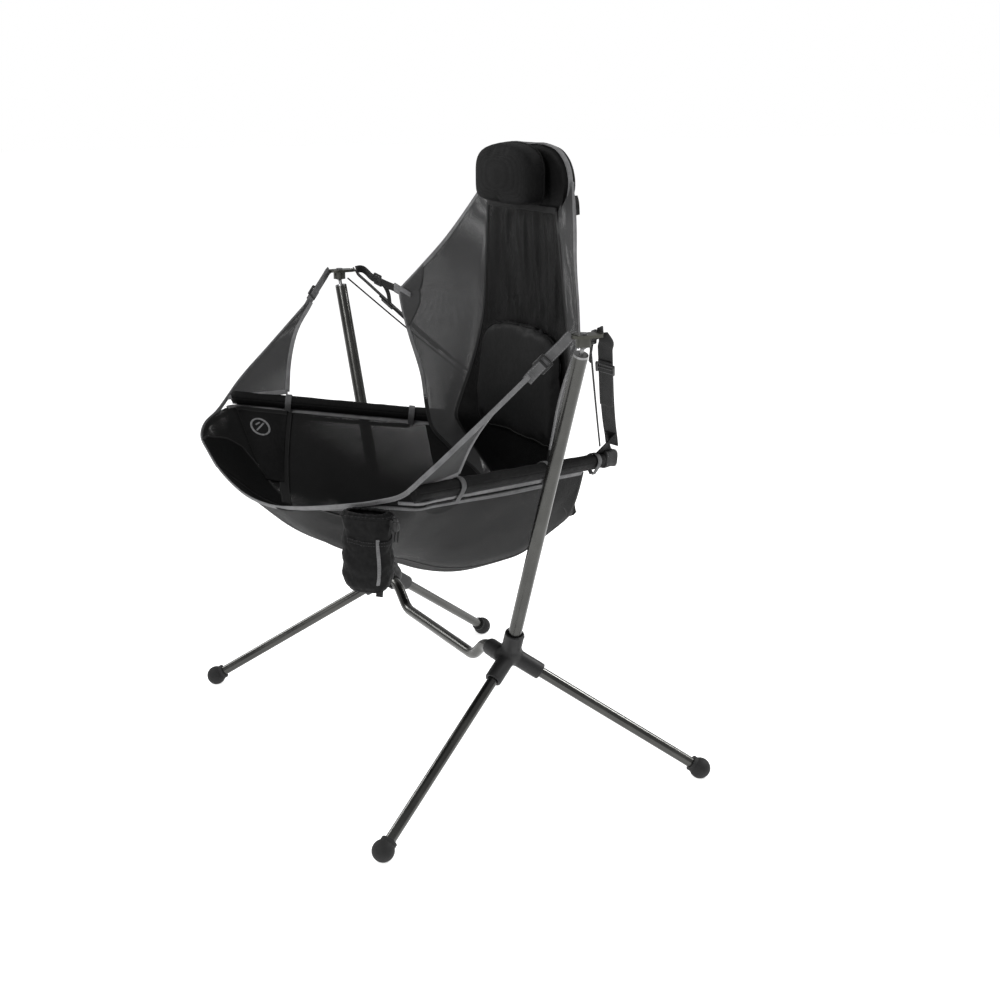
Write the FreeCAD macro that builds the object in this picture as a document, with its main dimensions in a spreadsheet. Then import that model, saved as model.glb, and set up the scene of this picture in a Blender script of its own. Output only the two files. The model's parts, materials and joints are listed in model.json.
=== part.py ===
"""Camp rocking chair: a reclining bucket seat of mesh and fabric that hangs by
webbing from two tall uprights, on a four-legged base of tubes and moulded hubs.

Frame: +Z up, the sitter faces -Y, +X is the sitter's left, origin on the ground
under the middle of the chair. Millimetres.
"""
import FreeCAD
import Part
import math
import os
import Sketcher
from FreeCAD import Placement, Rotation, Vector

SIZES = [
    # base
    ("hub_spread", 267, "middle of the chair to a hub's centre"),
    ("hub_height", 250, "ground to a hub's centre"),
    ("hub_setback", 34, "origin to the hubs' plane, towards the back"),
    ("pivot_spread", 509, "middle of the chair to a hanging ball's centre"),
    ("pivot_height", 866, "ground to a hanging ball's centre"),
    ("front_foot_spread", 446, "middle of the chair to a front foot"),
    ("front_foot_reach", 345, "hubs' plane to a front foot"),
    ("rear_foot_spread", 443, "middle of the chair to a rear foot"),
    ("rear_foot_reach", 316, "hubs' plane to a rear foot"),
    ("foot_diameter", 40, "rubber foot"),
    ("foot_flat", 2, "height of the flat sole cut from a foot's ball"),
    ("upright_diameter", 25, "upright tube"),
    ("leg_diameter", 20, "leg tube"),
    ("crossbar_diameter", 21, "crossbar tube"),
    ("tube_wall", 1.6, "wall of the base tubes"),
    ("socket_wall", 6, "plastic round a tube in a hub"),
    ("leg_socket", 68, "hub centre to a leg socket's mouth"),
    ("upright_socket", 50, "hub centre to the upright socket's mouth"),
    ("boss_reach", 50, "hub centre to the crossbar boss's mouth"),
    ("socket_floor", 24, "hub centre to the floor of a leg or upright socket"),
    ("boss_floor", 26, "hub centre to the floor of the crossbar boss"),
    ("fixed_gap", 0.05, "radial clearance of a tube fixed in a hub"),
    ("running_gap", 0.08, "radial clearance of a leg that pulls out"),
    ("crossbar_forward", 16, "hub centre to the crossbar's plane, forward"),
    ("crossbar_drop", 40, "drop of the crossbar's middle run below its ends"),
    ("crossbar_run_out", 20, "boss's mouth to the corner of the crossbar's bend"),
    ("crossbar_half_run", 150, "half of the crossbar's low middle run"),
    ("crossbar_bend", 46, "radius of the crossbar's bends"),
    ("shock_cord_diameter", 4, "elastic cord in each leg"),
    ("screw_diameter", 4, "screw that holds a tube in a hub"),
    # hanging point
    ("ball_radius", 8, "hanging ball"),
    ("ball_gap", 0.06, "radial clearance of the ball in its cup"),
    ("neck_radius", 3.6, "neck under the ball"),
    ("neck_length", 18, "ball centre to the collar on the tube"),
    ("tip_plug_length", 26, "plug of the tip inside the tube"),
    ("collar_thickness", 4, "collar of the tip on the tube's mouth"),
    ("cup_radius", 13, "cup round the ball"),
    ("cup_mouth_drop", 3.4, "ball centre to the cup's mouth"),
    ("plate_lift", 14, "ball centre to the middle of the plate"),
    ("plate_length", 60, "hanging plate, front to back"),
    ("plate_setback", 6, "ball centre to the plate's middle, back"),
    ("plate_width", 34, "hanging plate, across"),
    ("plate_thickness", 5, "hanging plate"),
    ("slot_inset", 7, "plate's end to the middle of a webbing slot"),
    ("slot_width", 5, "webbing slot"),
    ("slot_length", 27, "webbing slot"),
    ("rivet_radius", 4, "rivet's shank in the plate"),
    ("rivet_head_radius", 7, "rivet's head"),
    ("rivet_head_height", 3, "rivet's head"),
    # side bars
    ("bar_front_spread", 443, "middle of the chair to a bar's front end"),
    ("bar_front_reach", 275, "hubs' plane to a bar's front end, forward"),
    ("bar_front_drop", 229, "ball centre to a bar's front end, down"),
    ("bar_rear_spread", 177, "middle of the chair to a bar's rear end"),
    ("bar_rear_reach", 276, "hubs' plane to a bar's rear end, back"),
    ("bar_rear_drop", 292, "ball centre to a bar's rear end, down"),
    ("bar_diameter", 16, "side bar tube"),
    ("sleeve_diameter", 27, "padded sleeve on a side bar"),
    ("sleeve_gap", 0.3, "radial clearance of the sleeve on its bar"),
    ("sleeve_front_inset", 6, "bar's front end to the sleeve"),
    ("sleeve_rear_inset", 46, "bar's rear end to the sleeve"),
    ("corner_length", 42, "stitched pocket on a bar's rear end"),
    ("corner_width", 34, "stitched pocket on a bar's rear end"),
    ("end_cap_length", 5, "cap on a bar's front end"),
    # soft goods
    ("fabric", 4, "stand-in thickness of a fabric panel"),
    ("webbing_thickness", 2.4, "webbing"),
    ("gusset_strap_width", 18, "webbing from the plate to the front gusset"),
    ("wing_strap_width", 16, "webbing from the plate to a wing"),
    ("rear_strap_width", 26, "webbing from the plate to a bar's rear end"),
    ("tension_cord_diameter", 3.5, "thin cord beside the rear webbing"),
    ("seam_gap", 3, "gap left between neighbouring soft pieces"),
    ("seat_half_width", 165, "middle to the edge of the black seat base"),
    ("front_corner_run", 80, "bar's front end to the corner of the front edge, forward"),
    ("seat_rear_reach", 200, "hubs' plane to the seat's rear panel, back"),
    ("recline_reach", 175, "hubs' plane to the recline fold, back"),
    ("recline_drop", 292, "ball centre to the recline fold, down"),
    ("recline_room", 18, "room above and below the recline fold"),
    ("back_height", 470, "recline fold to the top edge of the back panel"),
    ("back_top_half_width", 134, "back panel at its top edge"),
    ("back_mid_half_width", 164, "back panel at its middle"),
    ("back_low_half_width", 158, "back panel at the recline fold"),
    ("lumbar_height", 205, "lumbar pad"),
    ("lumbar_half_width", 150, "lumbar pad"),
    ("lumbar_thickness", 16, "lumbar pad"),
    ("wing_corner_spread", 369, "middle of the chair to a wing's corner"),
    ("wing_corner_reach", 80, "hubs' plane to a wing's corner, back"),
    ("wing_corner_drop", 18, "ball centre to a wing's corner, down"),
    ("pillow_half_width", 113, "pillow"),
    ("pillow_height", 118, "pillow"),
    ("pillow_depth", 50, "pillow"),
    ("pillow_gap", 6, "back panel to the pillow"),
    ("hoop_radius", 157, "hoop's arch over the head, to the rod's centre"),
    ("hoop_rod_diameter", 9, "rod of the head hoop"),
    ("hoop_leg", 70, "straight legs of the head hoop"),
    ("pocket_length", 84, "bottle pocket, front to back"),
    ("pocket_depth", 54, "bottle pocket, across"),
    ("pocket_height", 134, "bottle pocket"),
    ("pocket_wall", 3, "bottle pocket"),
    ("lock_diameter", 12, "cord lock on the bottle pocket's drawcord"),
    ("inner_pocket_length", 104, "flat pocket inside the right panel"),
    ("inner_pocket_height", 96, "flat pocket inside the right panel"),
    ("inner_pocket_thickness", 6, "flat pocket inside the right panel"),
]

SIDES = (("left", 1), ("right", -1))

doc = FreeCAD.newDocument("camp_recliner")
sheet = doc.addObject("Spreadsheet::Sheet", "Sizes")
for row, (alias, value, meaning) in enumerate(SIZES, start=1):
    sheet.set(f"A{row}", meaning)
    sheet.set(f"B{row}", str(value))
    sheet.setAlias(f"B{row}", alias)
doc.recompute()

nodes = []


def size(alias):
    return float(sheet.get(alias))


def spot(x, reach, z):
    """A point given by its distance behind the hubs' plane."""
    return Vector(x, size("hub_setback") + reach, z)


def mix(a, b, share):
    return a + (b - a) * share


def turned(direction, across=None):
    """The rotation that takes +Z to direction, and +X as near across as it can."""
    along = Vector(direction).normalize()
    side = Vector(across) if across else Vector(0, 1, 0).cross(along)
    side = side - along * side.dot(along)
    if side.Length < 1e-6:
        side = Vector(1, 0, 0)
    side.normalize()
    return Rotation(side, along.cross(side), along, "ZXY")


def keep(obj, node):
    obj.Label = node
    nodes.append(obj)
    return obj


# ---- PartDesign helpers


def new_body(node, placement=None):
    body = doc.addObject("PartDesign::Body", node)
    if placement:
        body.Placement = placement
    return keep(body, node)


def new_sketch(body, role="XY_Plane", lift=0.0):
    sketch = body.newObject("Sketcher::SketchObject", "Sketch")
    plane = next(f for f in body.Origin.OriginFeatures if f.Role == role)
    sketch.AttachmentSupport = [(plane, "")]
    sketch.MapMode = "FlatFace"
    sketch.AttachmentOffset = Placement(Vector(0, 0, lift), Rotation())
    return sketch


def add_circle(sketch, radius, expression=None, centre=(0, 0)):
    at = Vector(centre[0], centre[1], 0)
    ring = sketch.addGeometry(Part.Circle(at, Vector(0, 0, 1), radius), False)
    if centre == (0, 0):
        sketch.addConstraint(Sketcher.Constraint("Coincident", ring, 3, -1, 1))
    else:
        sketch.addConstraint(Sketcher.Constraint("DistanceX", -1, 1, ring, 3, centre[0]))
        sketch.addConstraint(Sketcher.Constraint("DistanceY", -1, 1, ring, 3, centre[1]))
    held = sketch.addConstraint(Sketcher.Constraint("Radius", ring, radius))
    if expression:
        sketch.setExpression(f"Constraints[{held}]", expression)


def add_rectangle(sketch, width, height, width_size=None, height_size=None, middle=(0, 0)):
    """A rectangle centred on middle, its sides bound to the sheet where they are named."""
    x, y = middle
    corners = [(-1, -1), (1, -1), (1, 1), (-1, 1)]
    points = [Vector(x + i * width / 2, y + j * height / 2, 0) for i, j in corners]
    first = sketch.addGeometry(
        [Part.LineSegment(points[i], points[(i + 1) % 4]) for i in range(4)], False
    )[0]
    for i in range(4):
        sketch.addConstraint(
            Sketcher.Constraint("Coincident", first + i, 2, first + (i + 1) % 4, 1)
        )
    for i, kind in enumerate(("Horizontal", "Vertical", "Horizontal", "Vertical")):
        sketch.addConstraint(Sketcher.Constraint(kind, first + i))
    wide = sketch.addConstraint(
        Sketcher.Constraint("DistanceX", first, 1, first, 2, width)
    )
    high = sketch.addConstraint(
        Sketcher.Constraint("DistanceY", first + 1, 1, first + 1, 2, height)
    )
    if width_size:
        sketch.setExpression(f"Constraints[{wide}]", f"Sizes.{width_size}")
    if height_size:
        sketch.setExpression(f"Constraints[{high}]", f"Sizes.{height_size}")
    if middle == (0, 0):
        sketch.addConstraint(Sketcher.Constraint("Symmetric", first, 1, first + 1, 2, -1, 1))


def add_outline(sketch, points):
    """A closed outline of straight lines through points."""
    count = len(points)
    ends = [Vector(x, y, 0) for x, y in points]
    first = sketch.addGeometry(
        [Part.LineSegment(ends[i], ends[(i + 1) % count]) for i in range(count)], False
    )[0]
    for i in range(count):
        sketch.addConstraint(
            Sketcher.Constraint("Coincident", first + i, 2, first + (i + 1) % count, 1)
        )


def pad(body, sketch, length, expression=None):
    feature = body.newObject("PartDesign::Pad", "Pad")
    feature.Profile = sketch
    feature.Length = length
    if expression:
        feature.setExpression("Length", expression)
    return feature


def cut_through(body, sketch, depth, reverse=False):
    """Pocket a sketch and check that it removed material."""
    doc.recompute()
    before = body.Shape.Volume
    feature = body.newObject("PartDesign::Pocket", "Pocket")
    feature.Profile = sketch
    feature.Length = depth
    feature.Reversed = reverse
    doc.recompute()
    if body.Shape.Volume > before - 1:
        raise RuntimeError(f"{body.Label}: the pocket cut nothing")
    return feature


def tube(node, start, end, diameter, wall, across=None):
    """A round tube from start to end; diameter and wall name sheet cells."""
    body = new_body(node, Placement(start, turned(end - start, across)))
    sketch = new_sketch(body)
    radius = size(diameter) / 2
    add_circle(sketch, radius, f"Sizes.{diameter} / 2")
    add_circle(sketch, radius - size(wall), f"Sizes.{diameter} / 2 - Sizes.{wall}")
    pad(body, sketch, (end - start).Length)
    return body


def rod(node, start, end, diameter):
    body = new_body(node, Placement(start, turned(end - start)))
    sketch = new_sketch(body)
    add_circle(sketch, size(diameter) / 2, f"Sizes.{diameter} / 2")
    pad(body, sketch, (end - start).Length)
    return body


def strap(node, start, end, width, across):
    """Flat webbing from start to end, its width along across."""
    body = new_body(node, Placement(start, turned(end - start, across)))
    sketch = new_sketch(body)
    thick = size("webbing_thickness")
    add_rectangle(sketch, size(width), thick, width, "webbing_thickness")
    pad(body, sketch, (end - start).Length)
    return body


def flat_panel(node, corners):
    """A flat fabric panel through corners, which lie in one plane."""
    along = corners[1] - corners[0]
    normal = along.cross(corners[2] - corners[0])
    place = Placement(corners[0], turned(normal, along))
    inverse = place.inverse()
    body = new_body(node, place)
    sketch = new_sketch(body, lift=-size("fabric") / 2)
    flat = [inverse.multVec(corner) for corner in corners]
    add_outline(sketch, [(point.x, point.y) for point in flat])
    pad(body, sketch, size("fabric"), "Sizes.fabric")
    return body


def band(points, thickness):
    """The outline of a strip of cloth that runs through points, thickened downwards."""
    below = []
    for i, (x, z) in enumerate(points):
        x0, z0 = points[max(i - 1, 0)]
        x1, z1 = points[min(i + 1, len(points) - 1)]
        run = math.hypot(x1 - x0, z1 - z0)
        below.append((x + (z1 - z0) / run * thickness, z - (x1 - x0) / run * thickness))
    return list(points) + below[::-1]


def loft(node, sections, role):
    """A ruled loft through (level, outline) sections parallel to an origin plane."""
    body = new_body(node)
    sketches = []
    for level, outline in sections:
        sketch = new_sketch(body, role, -level if role == "XZ_Plane" else level)
        add_outline(sketch, outline)
        sketches.append(sketch)
    feature = body.newObject("PartDesign::AdditiveLoft", "Loft")
    feature.Profile = sketches[0]
    feature.Sections = sketches[1:]
    feature.Ruled = True
    return body


# ---- Part primitives


def cylinder(name, start, direction, radius, length):
    obj = doc.addObject("Part::Cylinder", name)
    obj.Radius = radius
    obj.Height = length
    obj.Placement = Placement(start, turned(direction))
    return obj


def sphere(name, centre, radius_size, extra=0.0):
    obj = doc.addObject("Part::Sphere", name)
    obj.setExpression("Radius", f"Sizes.{radius_size} + {extra}")
    obj.Placement = Placement(centre, Rotation())
    return obj


def fused(name, pieces):
    obj = doc.addObject("Part::MultiFuse", name)
    obj.Shapes = pieces
    return obj


def cut(name, base, tool):
    obj = doc.addObject("Part::Cut", name)
    obj.Base = base
    obj.Tool = tool
    return obj


# ---- points that several pieces share

PIVOT_Z = size("pivot_height")


def hub_centre(side):
    return spot(side * size("hub_spread"), 0, size("hub_height"))


def pivot(side):
    return spot(side * size("pivot_spread"), 0, PIVOT_Z)


def foot_centre(side, end):
    reach = size(f"{end}_foot_reach") * (-1 if end == "front" else 1)
    height = size("foot_diameter") / 2 - size("foot_flat")
    return spot(side * size(f"{end}_foot_spread"), reach, height)


def bar_front(side):
    z = PIVOT_Z - size("bar_front_drop")
    return spot(side * size("bar_front_spread"), -size("bar_front_reach"), z)


def bar_rear(side):
    z = PIVOT_Z - size("bar_rear_drop")
    return spot(side * size("bar_rear_spread"), size("bar_rear_reach"), z)


def bar_at_reach(side, reach):
    share = (reach + size("bar_front_reach")) / (size("bar_rear_reach") + size("bar_front_reach"))
    return mix(bar_front(side), bar_rear(side), share)


FOLD_Z = PIVOT_Z - size("recline_drop")


def back_point(height, half_width):
    """A point of the back panel's front face, height above the recline fold.

    The back leans forward a little towards its top.
    """
    share = height / size("back_height")
    reach = size("recline_reach") + 5 - 8 * share * share
    return half_width, size("hub_setback") + reach


# ---- base


def make_hub(name, side):
    centre = hub_centre(side)
    wall = size("socket_wall")
    inner = Vector(-side, 0, 0)
    boss_start = centre + Vector(0, -size("crossbar_forward"), 0)
    arms = [
        ("upright", centre, pivot(side) - centre, "upright_diameter", "fixed_gap",
         "upright_socket", "socket_floor"),
        ("boss", boss_start, inner, "crossbar_diameter", "fixed_gap",
         "boss_reach", "boss_floor"),
    ]
    for end in ("front", "rear"):
        arms.append(
            (end, centre, foot_centre(side, end) - centre, "leg_diameter", "running_gap",
             "leg_socket", "socket_floor")
        )
    solids = [sphere(f"{name}_core", centre, "socket_floor")]
    bores = []
    for label, start, direction, diameter, gap, reach, floor in arms:
        along = Vector(direction).normalize()
        bore = size(diameter) / 2 + size(gap)
        solids.append(cylinder(f"{name}_{label}", start, along, bore + wall, size(reach)))
        depth = size(reach) - size(floor) + 1
        bores.append(
            cylinder(f"{name}_{label}_bore", start + along * size(floor), along, bore, depth)
        )
    return keep(cut(name, fused(f"{name}_body", solids), fused(f"{name}_bores", bores)), name)


def make_crossbar():
    """A tube with a low middle run; its straight ends sit in the hubs' bosses."""
    x_end = size("hub_spread") - size("boss_floor")
    x_flat = size("crossbar_half_run")
    x_bend = size("hub_spread") - size("boss_reach") - size("crossbar_run_out")
    high = size("hub_height")
    low = high - size("crossbar_drop")
    body = new_body("crossbar")
    reach = size("hub_setback") - size("crossbar_forward")
    path = new_sketch(body, "XZ_Plane", -reach)
    corners = [(-x_end, high), (-x_bend, high), (-x_flat, low)]
    corners += [(-x, z) for x, z in corners[::-1]]
    ends = [Vector(x, z, 0) for x, z in corners]
    radius = size("crossbar_bend")
    pieces = []
    start = ends[0]
    for i in range(1, len(ends) - 1):
        into = (ends[i] - ends[i - 1]).normalize()
        out = (ends[i + 1] - ends[i]).normalize()
        turn = into.getAngle(out)
        trim = radius * math.tan(turn / 2)
        first, last = ends[i] - into * trim, ends[i] + out * trim
        inside = (out - into).normalize()
        middle = ends[i] + inside * (radius / math.cos(turn / 2) - radius)
        pieces.append(Part.LineSegment(start, first))
        pieces.append(Part.Arc(first, middle, last))
        start = last
    pieces.append(Part.LineSegment(start, ends[-1]))
    path.addGeometry(pieces, False)
    ring = new_sketch(body, "YZ_Plane", -x_end)
    outer = size("crossbar_diameter") / 2
    for radius_now, expression in (
        (outer, "Sizes.crossbar_diameter / 2"),
        (outer - size("tube_wall"), "Sizes.crossbar_diameter / 2 - Sizes.tube_wall"),
    ):
        add_circle(ring, radius_now, expression, centre=(reach, high))
    pipe = body.newObject("PartDesign::AdditivePipe", "Pipe")
    pipe.Profile = ring
    pipe.Spine = (path, [])
    return body


def upright_top(side):
    down = (hub_centre(side) - pivot(side)).normalize()
    return pivot(side) + down * (size("neck_length") + size("collar_thickness"))


def make_upright(side_name, side):
    centre = hub_centre(side)
    along = (pivot(side) - centre).normalize()
    start = centre + along * size("socket_floor")
    tube(f"upright_{side_name}", start, upright_top(side), "upright_diameter", "tube_wall")
    # tip: a plug in the tube, a collar on its mouth, a neck and the hanging ball
    name = f"hanging_ball_{side_name}"
    top = upright_top(side)
    bore = size("upright_diameter") / 2 - size("tube_wall") - size("fixed_gap")
    plug = cylinder(f"{name}_plug", top - along * size("tip_plug_length"), along, bore,
                    size("tip_plug_length"))
    collar = cylinder(f"{name}_collar", top, along, size("upright_diameter") / 2,
                      size("collar_thickness"))
    neck = cylinder(f"{name}_neck", top, along, size("neck_radius"),
                    size("neck_length") + size("collar_thickness"))
    ball = sphere(f"{name}_ball", pivot(side), "ball_radius")
    keep(fused(name, [plug, collar, neck, ball]), name)


def make_leg(end, side_name, side):
    centre = hub_centre(side)
    foot = foot_centre(side, end)
    along = (foot - centre).normalize()
    name = f"{end}_{side_name}"
    start = centre + along * (size("socket_floor") + 0.5)
    rubber = size("foot_diameter") / 2
    seat_depth = 0.25 * rubber
    tube(f"leg_tube_{name}", start, foot + along * seat_depth, "leg_diameter", "tube_wall")
    # foot: a rubber ball with a flat collar, and a bore that the tube is pressed into
    ball = sphere(f"foot_{name}_ball", foot, "foot_diameter", f"-{rubber}")
    collar = cylinder(f"foot_{name}_collar", foot - along * rubber * 1.02, along,
                      size("leg_diameter") / 2 + 5, rubber)
    bore = cylinder(f"foot_{name}_bore", foot - along * rubber * 1.1, along,
                    size("leg_diameter") / 2 + size("fixed_gap"),
                    rubber * 1.1 + seat_depth + size("fixed_gap"))
    ground = doc.addObject("Part::Box", f"foot_{name}_ground")
    for edge in ("Length", "Width", "Height"):
        ground.setExpression(edge, "Sizes.foot_diameter")
    ground.Placement.Base = Vector(foot.x - rubber, foot.y - rubber, -2 * rubber)
    solid = fused(f"foot_{name}_solid", [ball, collar])
    away = fused(f"foot_{name}_away", [bore, ground])
    keep(cut(f"foot_{name}", solid, away), f"foot_{name}")
    rod(f"shock_cord_{name}", start + along * 2, foot, "shock_cord_diameter")


def make_hub_screws():
    """A screw through each upright socket and each crossbar boss."""
    screws = []
    for side_name, side in SIDES:
        centre = hub_centre(side)
        along = (pivot(side) - centre).normalize()
        across = Vector(0, 1, 0)
        reach = (size("upright_socket") + size("socket_floor")) / 2
        tube_radius = size("upright_diameter") / 2 + size("fixed_gap")
        start = centre + along * reach + across * (tube_radius + size("socket_wall"))
        screws.append(screw(f"upright_screw_{side_name}", start, across))
        boss = centre + Vector(-side * (size("boss_reach") - 9), -size("crossbar_forward"), 0)
        tube_radius = size("crossbar_diameter") / 2 + size("fixed_gap")
        start = boss + Vector(0, 0, -tube_radius - size("socket_wall"))
        screws.append(screw(f"boss_screw_{side_name}", start, Vector(0, 0, -1)))
    group("hub_screws", screws)


def screw(name, seat, outward):
    """A pan head that stands on the hub, as the part of the screw that can be seen."""
    radius = size("screw_diameter")
    return cylinder(name, seat + outward * 0.1, outward, radius, radius * 0.6)


# ---- hanging points


def make_plate(side_name, side):
    name = f"hanging_plate_{side_name}"
    lift = size("plate_lift") - size("plate_thickness") / 2
    back = size("plate_setback")
    body = new_body(name, Placement(pivot(side) + Vector(0, back, lift), Rotation()))
    sketch = new_sketch(body)
    half = size("plate_width") / 2
    run = size("plate_length") / 2 - half
    ends = [Vector(half, -run, 0), Vector(half, run, 0), Vector(-half, run, 0), Vector(-half, -run, 0)]
    sketch.addGeometry(
        [
            Part.LineSegment(ends[0], ends[1]),
            Part.Arc(ends[1], Vector(0, run + half, 0), ends[2]),
            Part.LineSegment(ends[2], ends[3]),
            Part.Arc(ends[3], Vector(0, -run - half, 0), ends[0]),
        ],
        False,
    )
    add_circle(sketch, size("rivet_radius") + size("fixed_gap"),
               "Sizes.rivet_radius + Sizes.fixed_gap", centre=(0, -back))
    slot = size("plate_length") / 2 - size("slot_inset")
    pad(body, sketch, size("plate_thickness"), "Sizes.plate_thickness")
    for reach in (-slot, slot):
        opening = new_sketch(body)
        width = min(size("slot_length"), size("plate_width") - 10)
        add_rectangle(opening, width, size("slot_width"), middle=(0, reach))
        cut_through(body, opening, size("plate_thickness"), reverse=True)
    # cup under the plate
    cup_name = f"ball_cup_{side_name}"
    bottom = pivot(side) - Vector(0, 0, size("cup_mouth_drop"))
    height = size("cup_mouth_drop") + lift
    block = cylinder(f"{cup_name}_block", bottom, Vector(0, 0, 1), size("cup_radius"), height)
    hollow = sphere(f"{cup_name}_hollow", pivot(side), "ball_radius", size("ball_gap"))
    keep(cut(cup_name, block, hollow), cup_name)


def make_plate_rivets():
    rivets = []
    for side_name, side in SIDES:
        name = f"plate_rivet_{side_name}"
        base = pivot(side) + Vector(0, 0, size("plate_lift") - size("plate_thickness") / 2)
        up = Vector(0, 0, 1)
        shank = cylinder(f"{name}_shank", base, up, size("rivet_radius"), size("plate_thickness") + 1)
        head = cylinder(f"{name}_head", base + up * size("plate_thickness"), up,
                        size("rivet_head_radius"), size("rivet_head_height"))
        rivets.append(fused(name, [shank, head]))
    group("plate_rivets", rivets)


# ---- side bars


def make_bar(side_name, side):
    front, rear = bar_front(side), bar_rear(side)
    along = (rear - front).normalize()
    tube(f"side_bar_{side_name}", front, rear, "bar_diameter", "tube_wall")
    # sleeve
    name = f"bar_sleeve_{side_name}"
    start = front + along * size("sleeve_front_inset")
    end = rear - along * size("sleeve_rear_inset")
    body = new_body(name, Placement(start, turned(along)))
    sketch = new_sketch(body)
    add_circle(sketch, size("sleeve_diameter") / 2, "Sizes.sleeve_diameter / 2")
    add_circle(sketch, size("bar_diameter") / 2 + size("sleeve_gap"),
               "Sizes.bar_diameter / 2 + Sizes.sleeve_gap")
    pad(body, sketch, (end - start).Length)
    # stitched pocket that takes the bar's rear end
    name = f"bar_corner_{side_name}"
    start = rear - along * (size("corner_length") - 6)
    body = new_body(name, Placement(start, turned(along, Vector(0, 0, 1).cross(along))))
    sketch = new_sketch(body)
    width = size("corner_width")
    add_rectangle(sketch, size("sleeve_diameter") - 3, width, None, "corner_width")
    pad(body, sketch, size("corner_length"), "Sizes.corner_length")
    hollow = new_sketch(body)
    add_circle(hollow, size("bar_diameter") / 2 + size("sleeve_gap"),
               "Sizes.bar_diameter / 2 + Sizes.sleeve_gap")
    cut_through(body, hollow, size("corner_length") - 4, reverse=True)
    # cap in the bar's front end
    cap = f"bar_end_cap_{side_name}"
    inside = size("bar_diameter") / 2 - size("tube_wall") - size("fixed_gap")
    plug = cylinder(f"{cap}_plug", front, along, inside, 3 * size("end_cap_length"))
    head = cylinder(f"{cap}_head", front - along * size("end_cap_length"), along,
                    size("bar_diameter") / 2, size("end_cap_length"))
    return fused(cap, [plug, head])


# ---- webbing and gussets


def plate_end(side, way):
    """Just outside the plate's front (-1) or rear (+1) end."""
    reach = size("plate_setback") + way * (size("plate_length") / 2 + size("webbing_thickness"))
    return pivot(side) + Vector(0, reach, size("plate_lift"))


def make_gusset(side_name, side):
    above = size("sleeve_diameter") / 2 + size("fabric")
    front = bar_front(side) + Vector(0, -4, above)
    rear = mix(bar_front(side), bar_rear(side), 0.19) + Vector(0, 0, above)
    top = plate_end(side, -1) - Vector(0, 0, 4)
    toward = mix(front, rear, 0.4)
    lower = mix(top, toward, 0.27)
    half = (rear - front) * 0.045
    flat_panel(f"front_gusset_{side_name}", [front, rear, lower + half, lower - half])
    middle = mix(top, toward, 0.17)
    strap(f"gusset_strap_{side_name}", top, middle, "gusset_strap_width", rear - front)
    return middle, lower, rear - front


def buckle(name, start, direction, across, width, length, thickness):
    """A ladder-lock: a plain frame in CAD, with a window for the webbing."""
    body = doc.addObject("Part::Box", name)
    body.Length = width
    body.Width = thickness
    body.Height = length
    turn = turned(direction, across)
    body.Placement = Placement(start - turn.multVec(Vector(width / 2, thickness / 2, 0)), turn)
    return body


def group(node, pieces):
    obj = doc.addObject("Part::Compound", node)
    obj.Links = pieces
    return keep(obj, node)


def rear_strap_ends(side):
    start = plate_end(side, 1) + Vector(0, 1, -12)
    end = bar_rear(side) + Vector(side * 6, -8, size("corner_width") / 2 + 10)
    return start, end


def make_rear_strap(side_name, side):
    start, end = rear_strap_ends(side)
    across = Vector(side, 0.9, 0)
    strap(f"rear_strap_{side_name}", start, end, "rear_strap_width", across)
    shift = Vector(-side * 7, -21, -6)
    rod(f"tension_cord_{side_name}", start + shift, end + shift + Vector(0, 0, 6),
        "tension_cord_diameter")


def wing_corner(side):
    z = PIVOT_Z - size("wing_corner_drop")
    return spot(side * size("wing_corner_spread"), size("wing_corner_reach"), z)


def make_wing_strap(side_name, side):
    start = plate_end(side, 1) + Vector(-side * 14, 0, 3)
    corner = wing_corner(side)
    end = mix(corner, start, 0.16)
    across = Vector(0, 0, 1)
    strap(f"wing_strap_{side_name}", start, end, "wing_strap_width", across)
    return start, end


def make_buckles(gussets, wings):
    """Ladder-locks on the gusset straps, the rear webbing and the wing straps."""
    pieces = []
    for (side_name, side), (middle, lower, across) in zip(SIDES, gussets):
        direction = lower - middle
        length = direction.Length * 0.5
        pieces.append(buckle(f"gusset_buckle_{side_name}", middle + direction * 0.1, direction,
                             across, size("gusset_strap_width") + 6, length, 5))
    group("gusset_buckles", pieces)
    pieces = []
    for side_name, side in SIDES:
        start, end = rear_strap_ends(side)
        direction = end - start
        across = Vector(side, 0.9, 0)
        base = mix(start, end, 0.2)
        turn = turned(direction, across)
        off = turn.multVec(Vector(0, 1, 0)) * (size("webbing_thickness") / 2 + 3)
        pieces.append(buckle(f"rear_buckle_{side_name}", base + off, direction, across,
                             size("rear_strap_width") + 6, 34, 5))
    group("rear_buckles", pieces)
    pieces = []
    for (side_name, side), (start, end) in zip(SIDES, wings):
        direction = end - start
        turn = turned(direction, Vector(0, 0, 1))
        off = turn.multVec(Vector(0, 1, 0)) * (size("webbing_thickness") / 2 + 3)
        pieces.append(buckle(f"wing_buckle_{side_name}", mix(start, end, 0.35) + off, direction,
                             Vector(0, 0, 1), size("wing_strap_width") + 5, 24, 5))
    group("wing_buckles", pieces)


# ---- seat


# distance behind the hubs' plane, then drop below the ball centres of the
# seat base's middle and of its edge
SEAT_STATIONS = [
    (-404, 320, 300),
    (-330, 388, 372),
    (-270, 422, 404),
    (-175, 460, 432),
    (-94, 498, 462),
    (-31, 512, 471),
    (78, 504, 460),
    (130, 474, 434),
    (190, 436, 398),
]


def seat_section(middle_drop, edge_drop):
    """Half an ellipse of cloth across the seat base, as five points."""
    half = size("seat_half_width")
    points = []
    for share in (-1, -0.55, 0, 0.55, 1):
        z = PIVOT_Z - middle_drop + (middle_drop - edge_drop) * share * share
        points.append((half * share, z))
    return points


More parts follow.
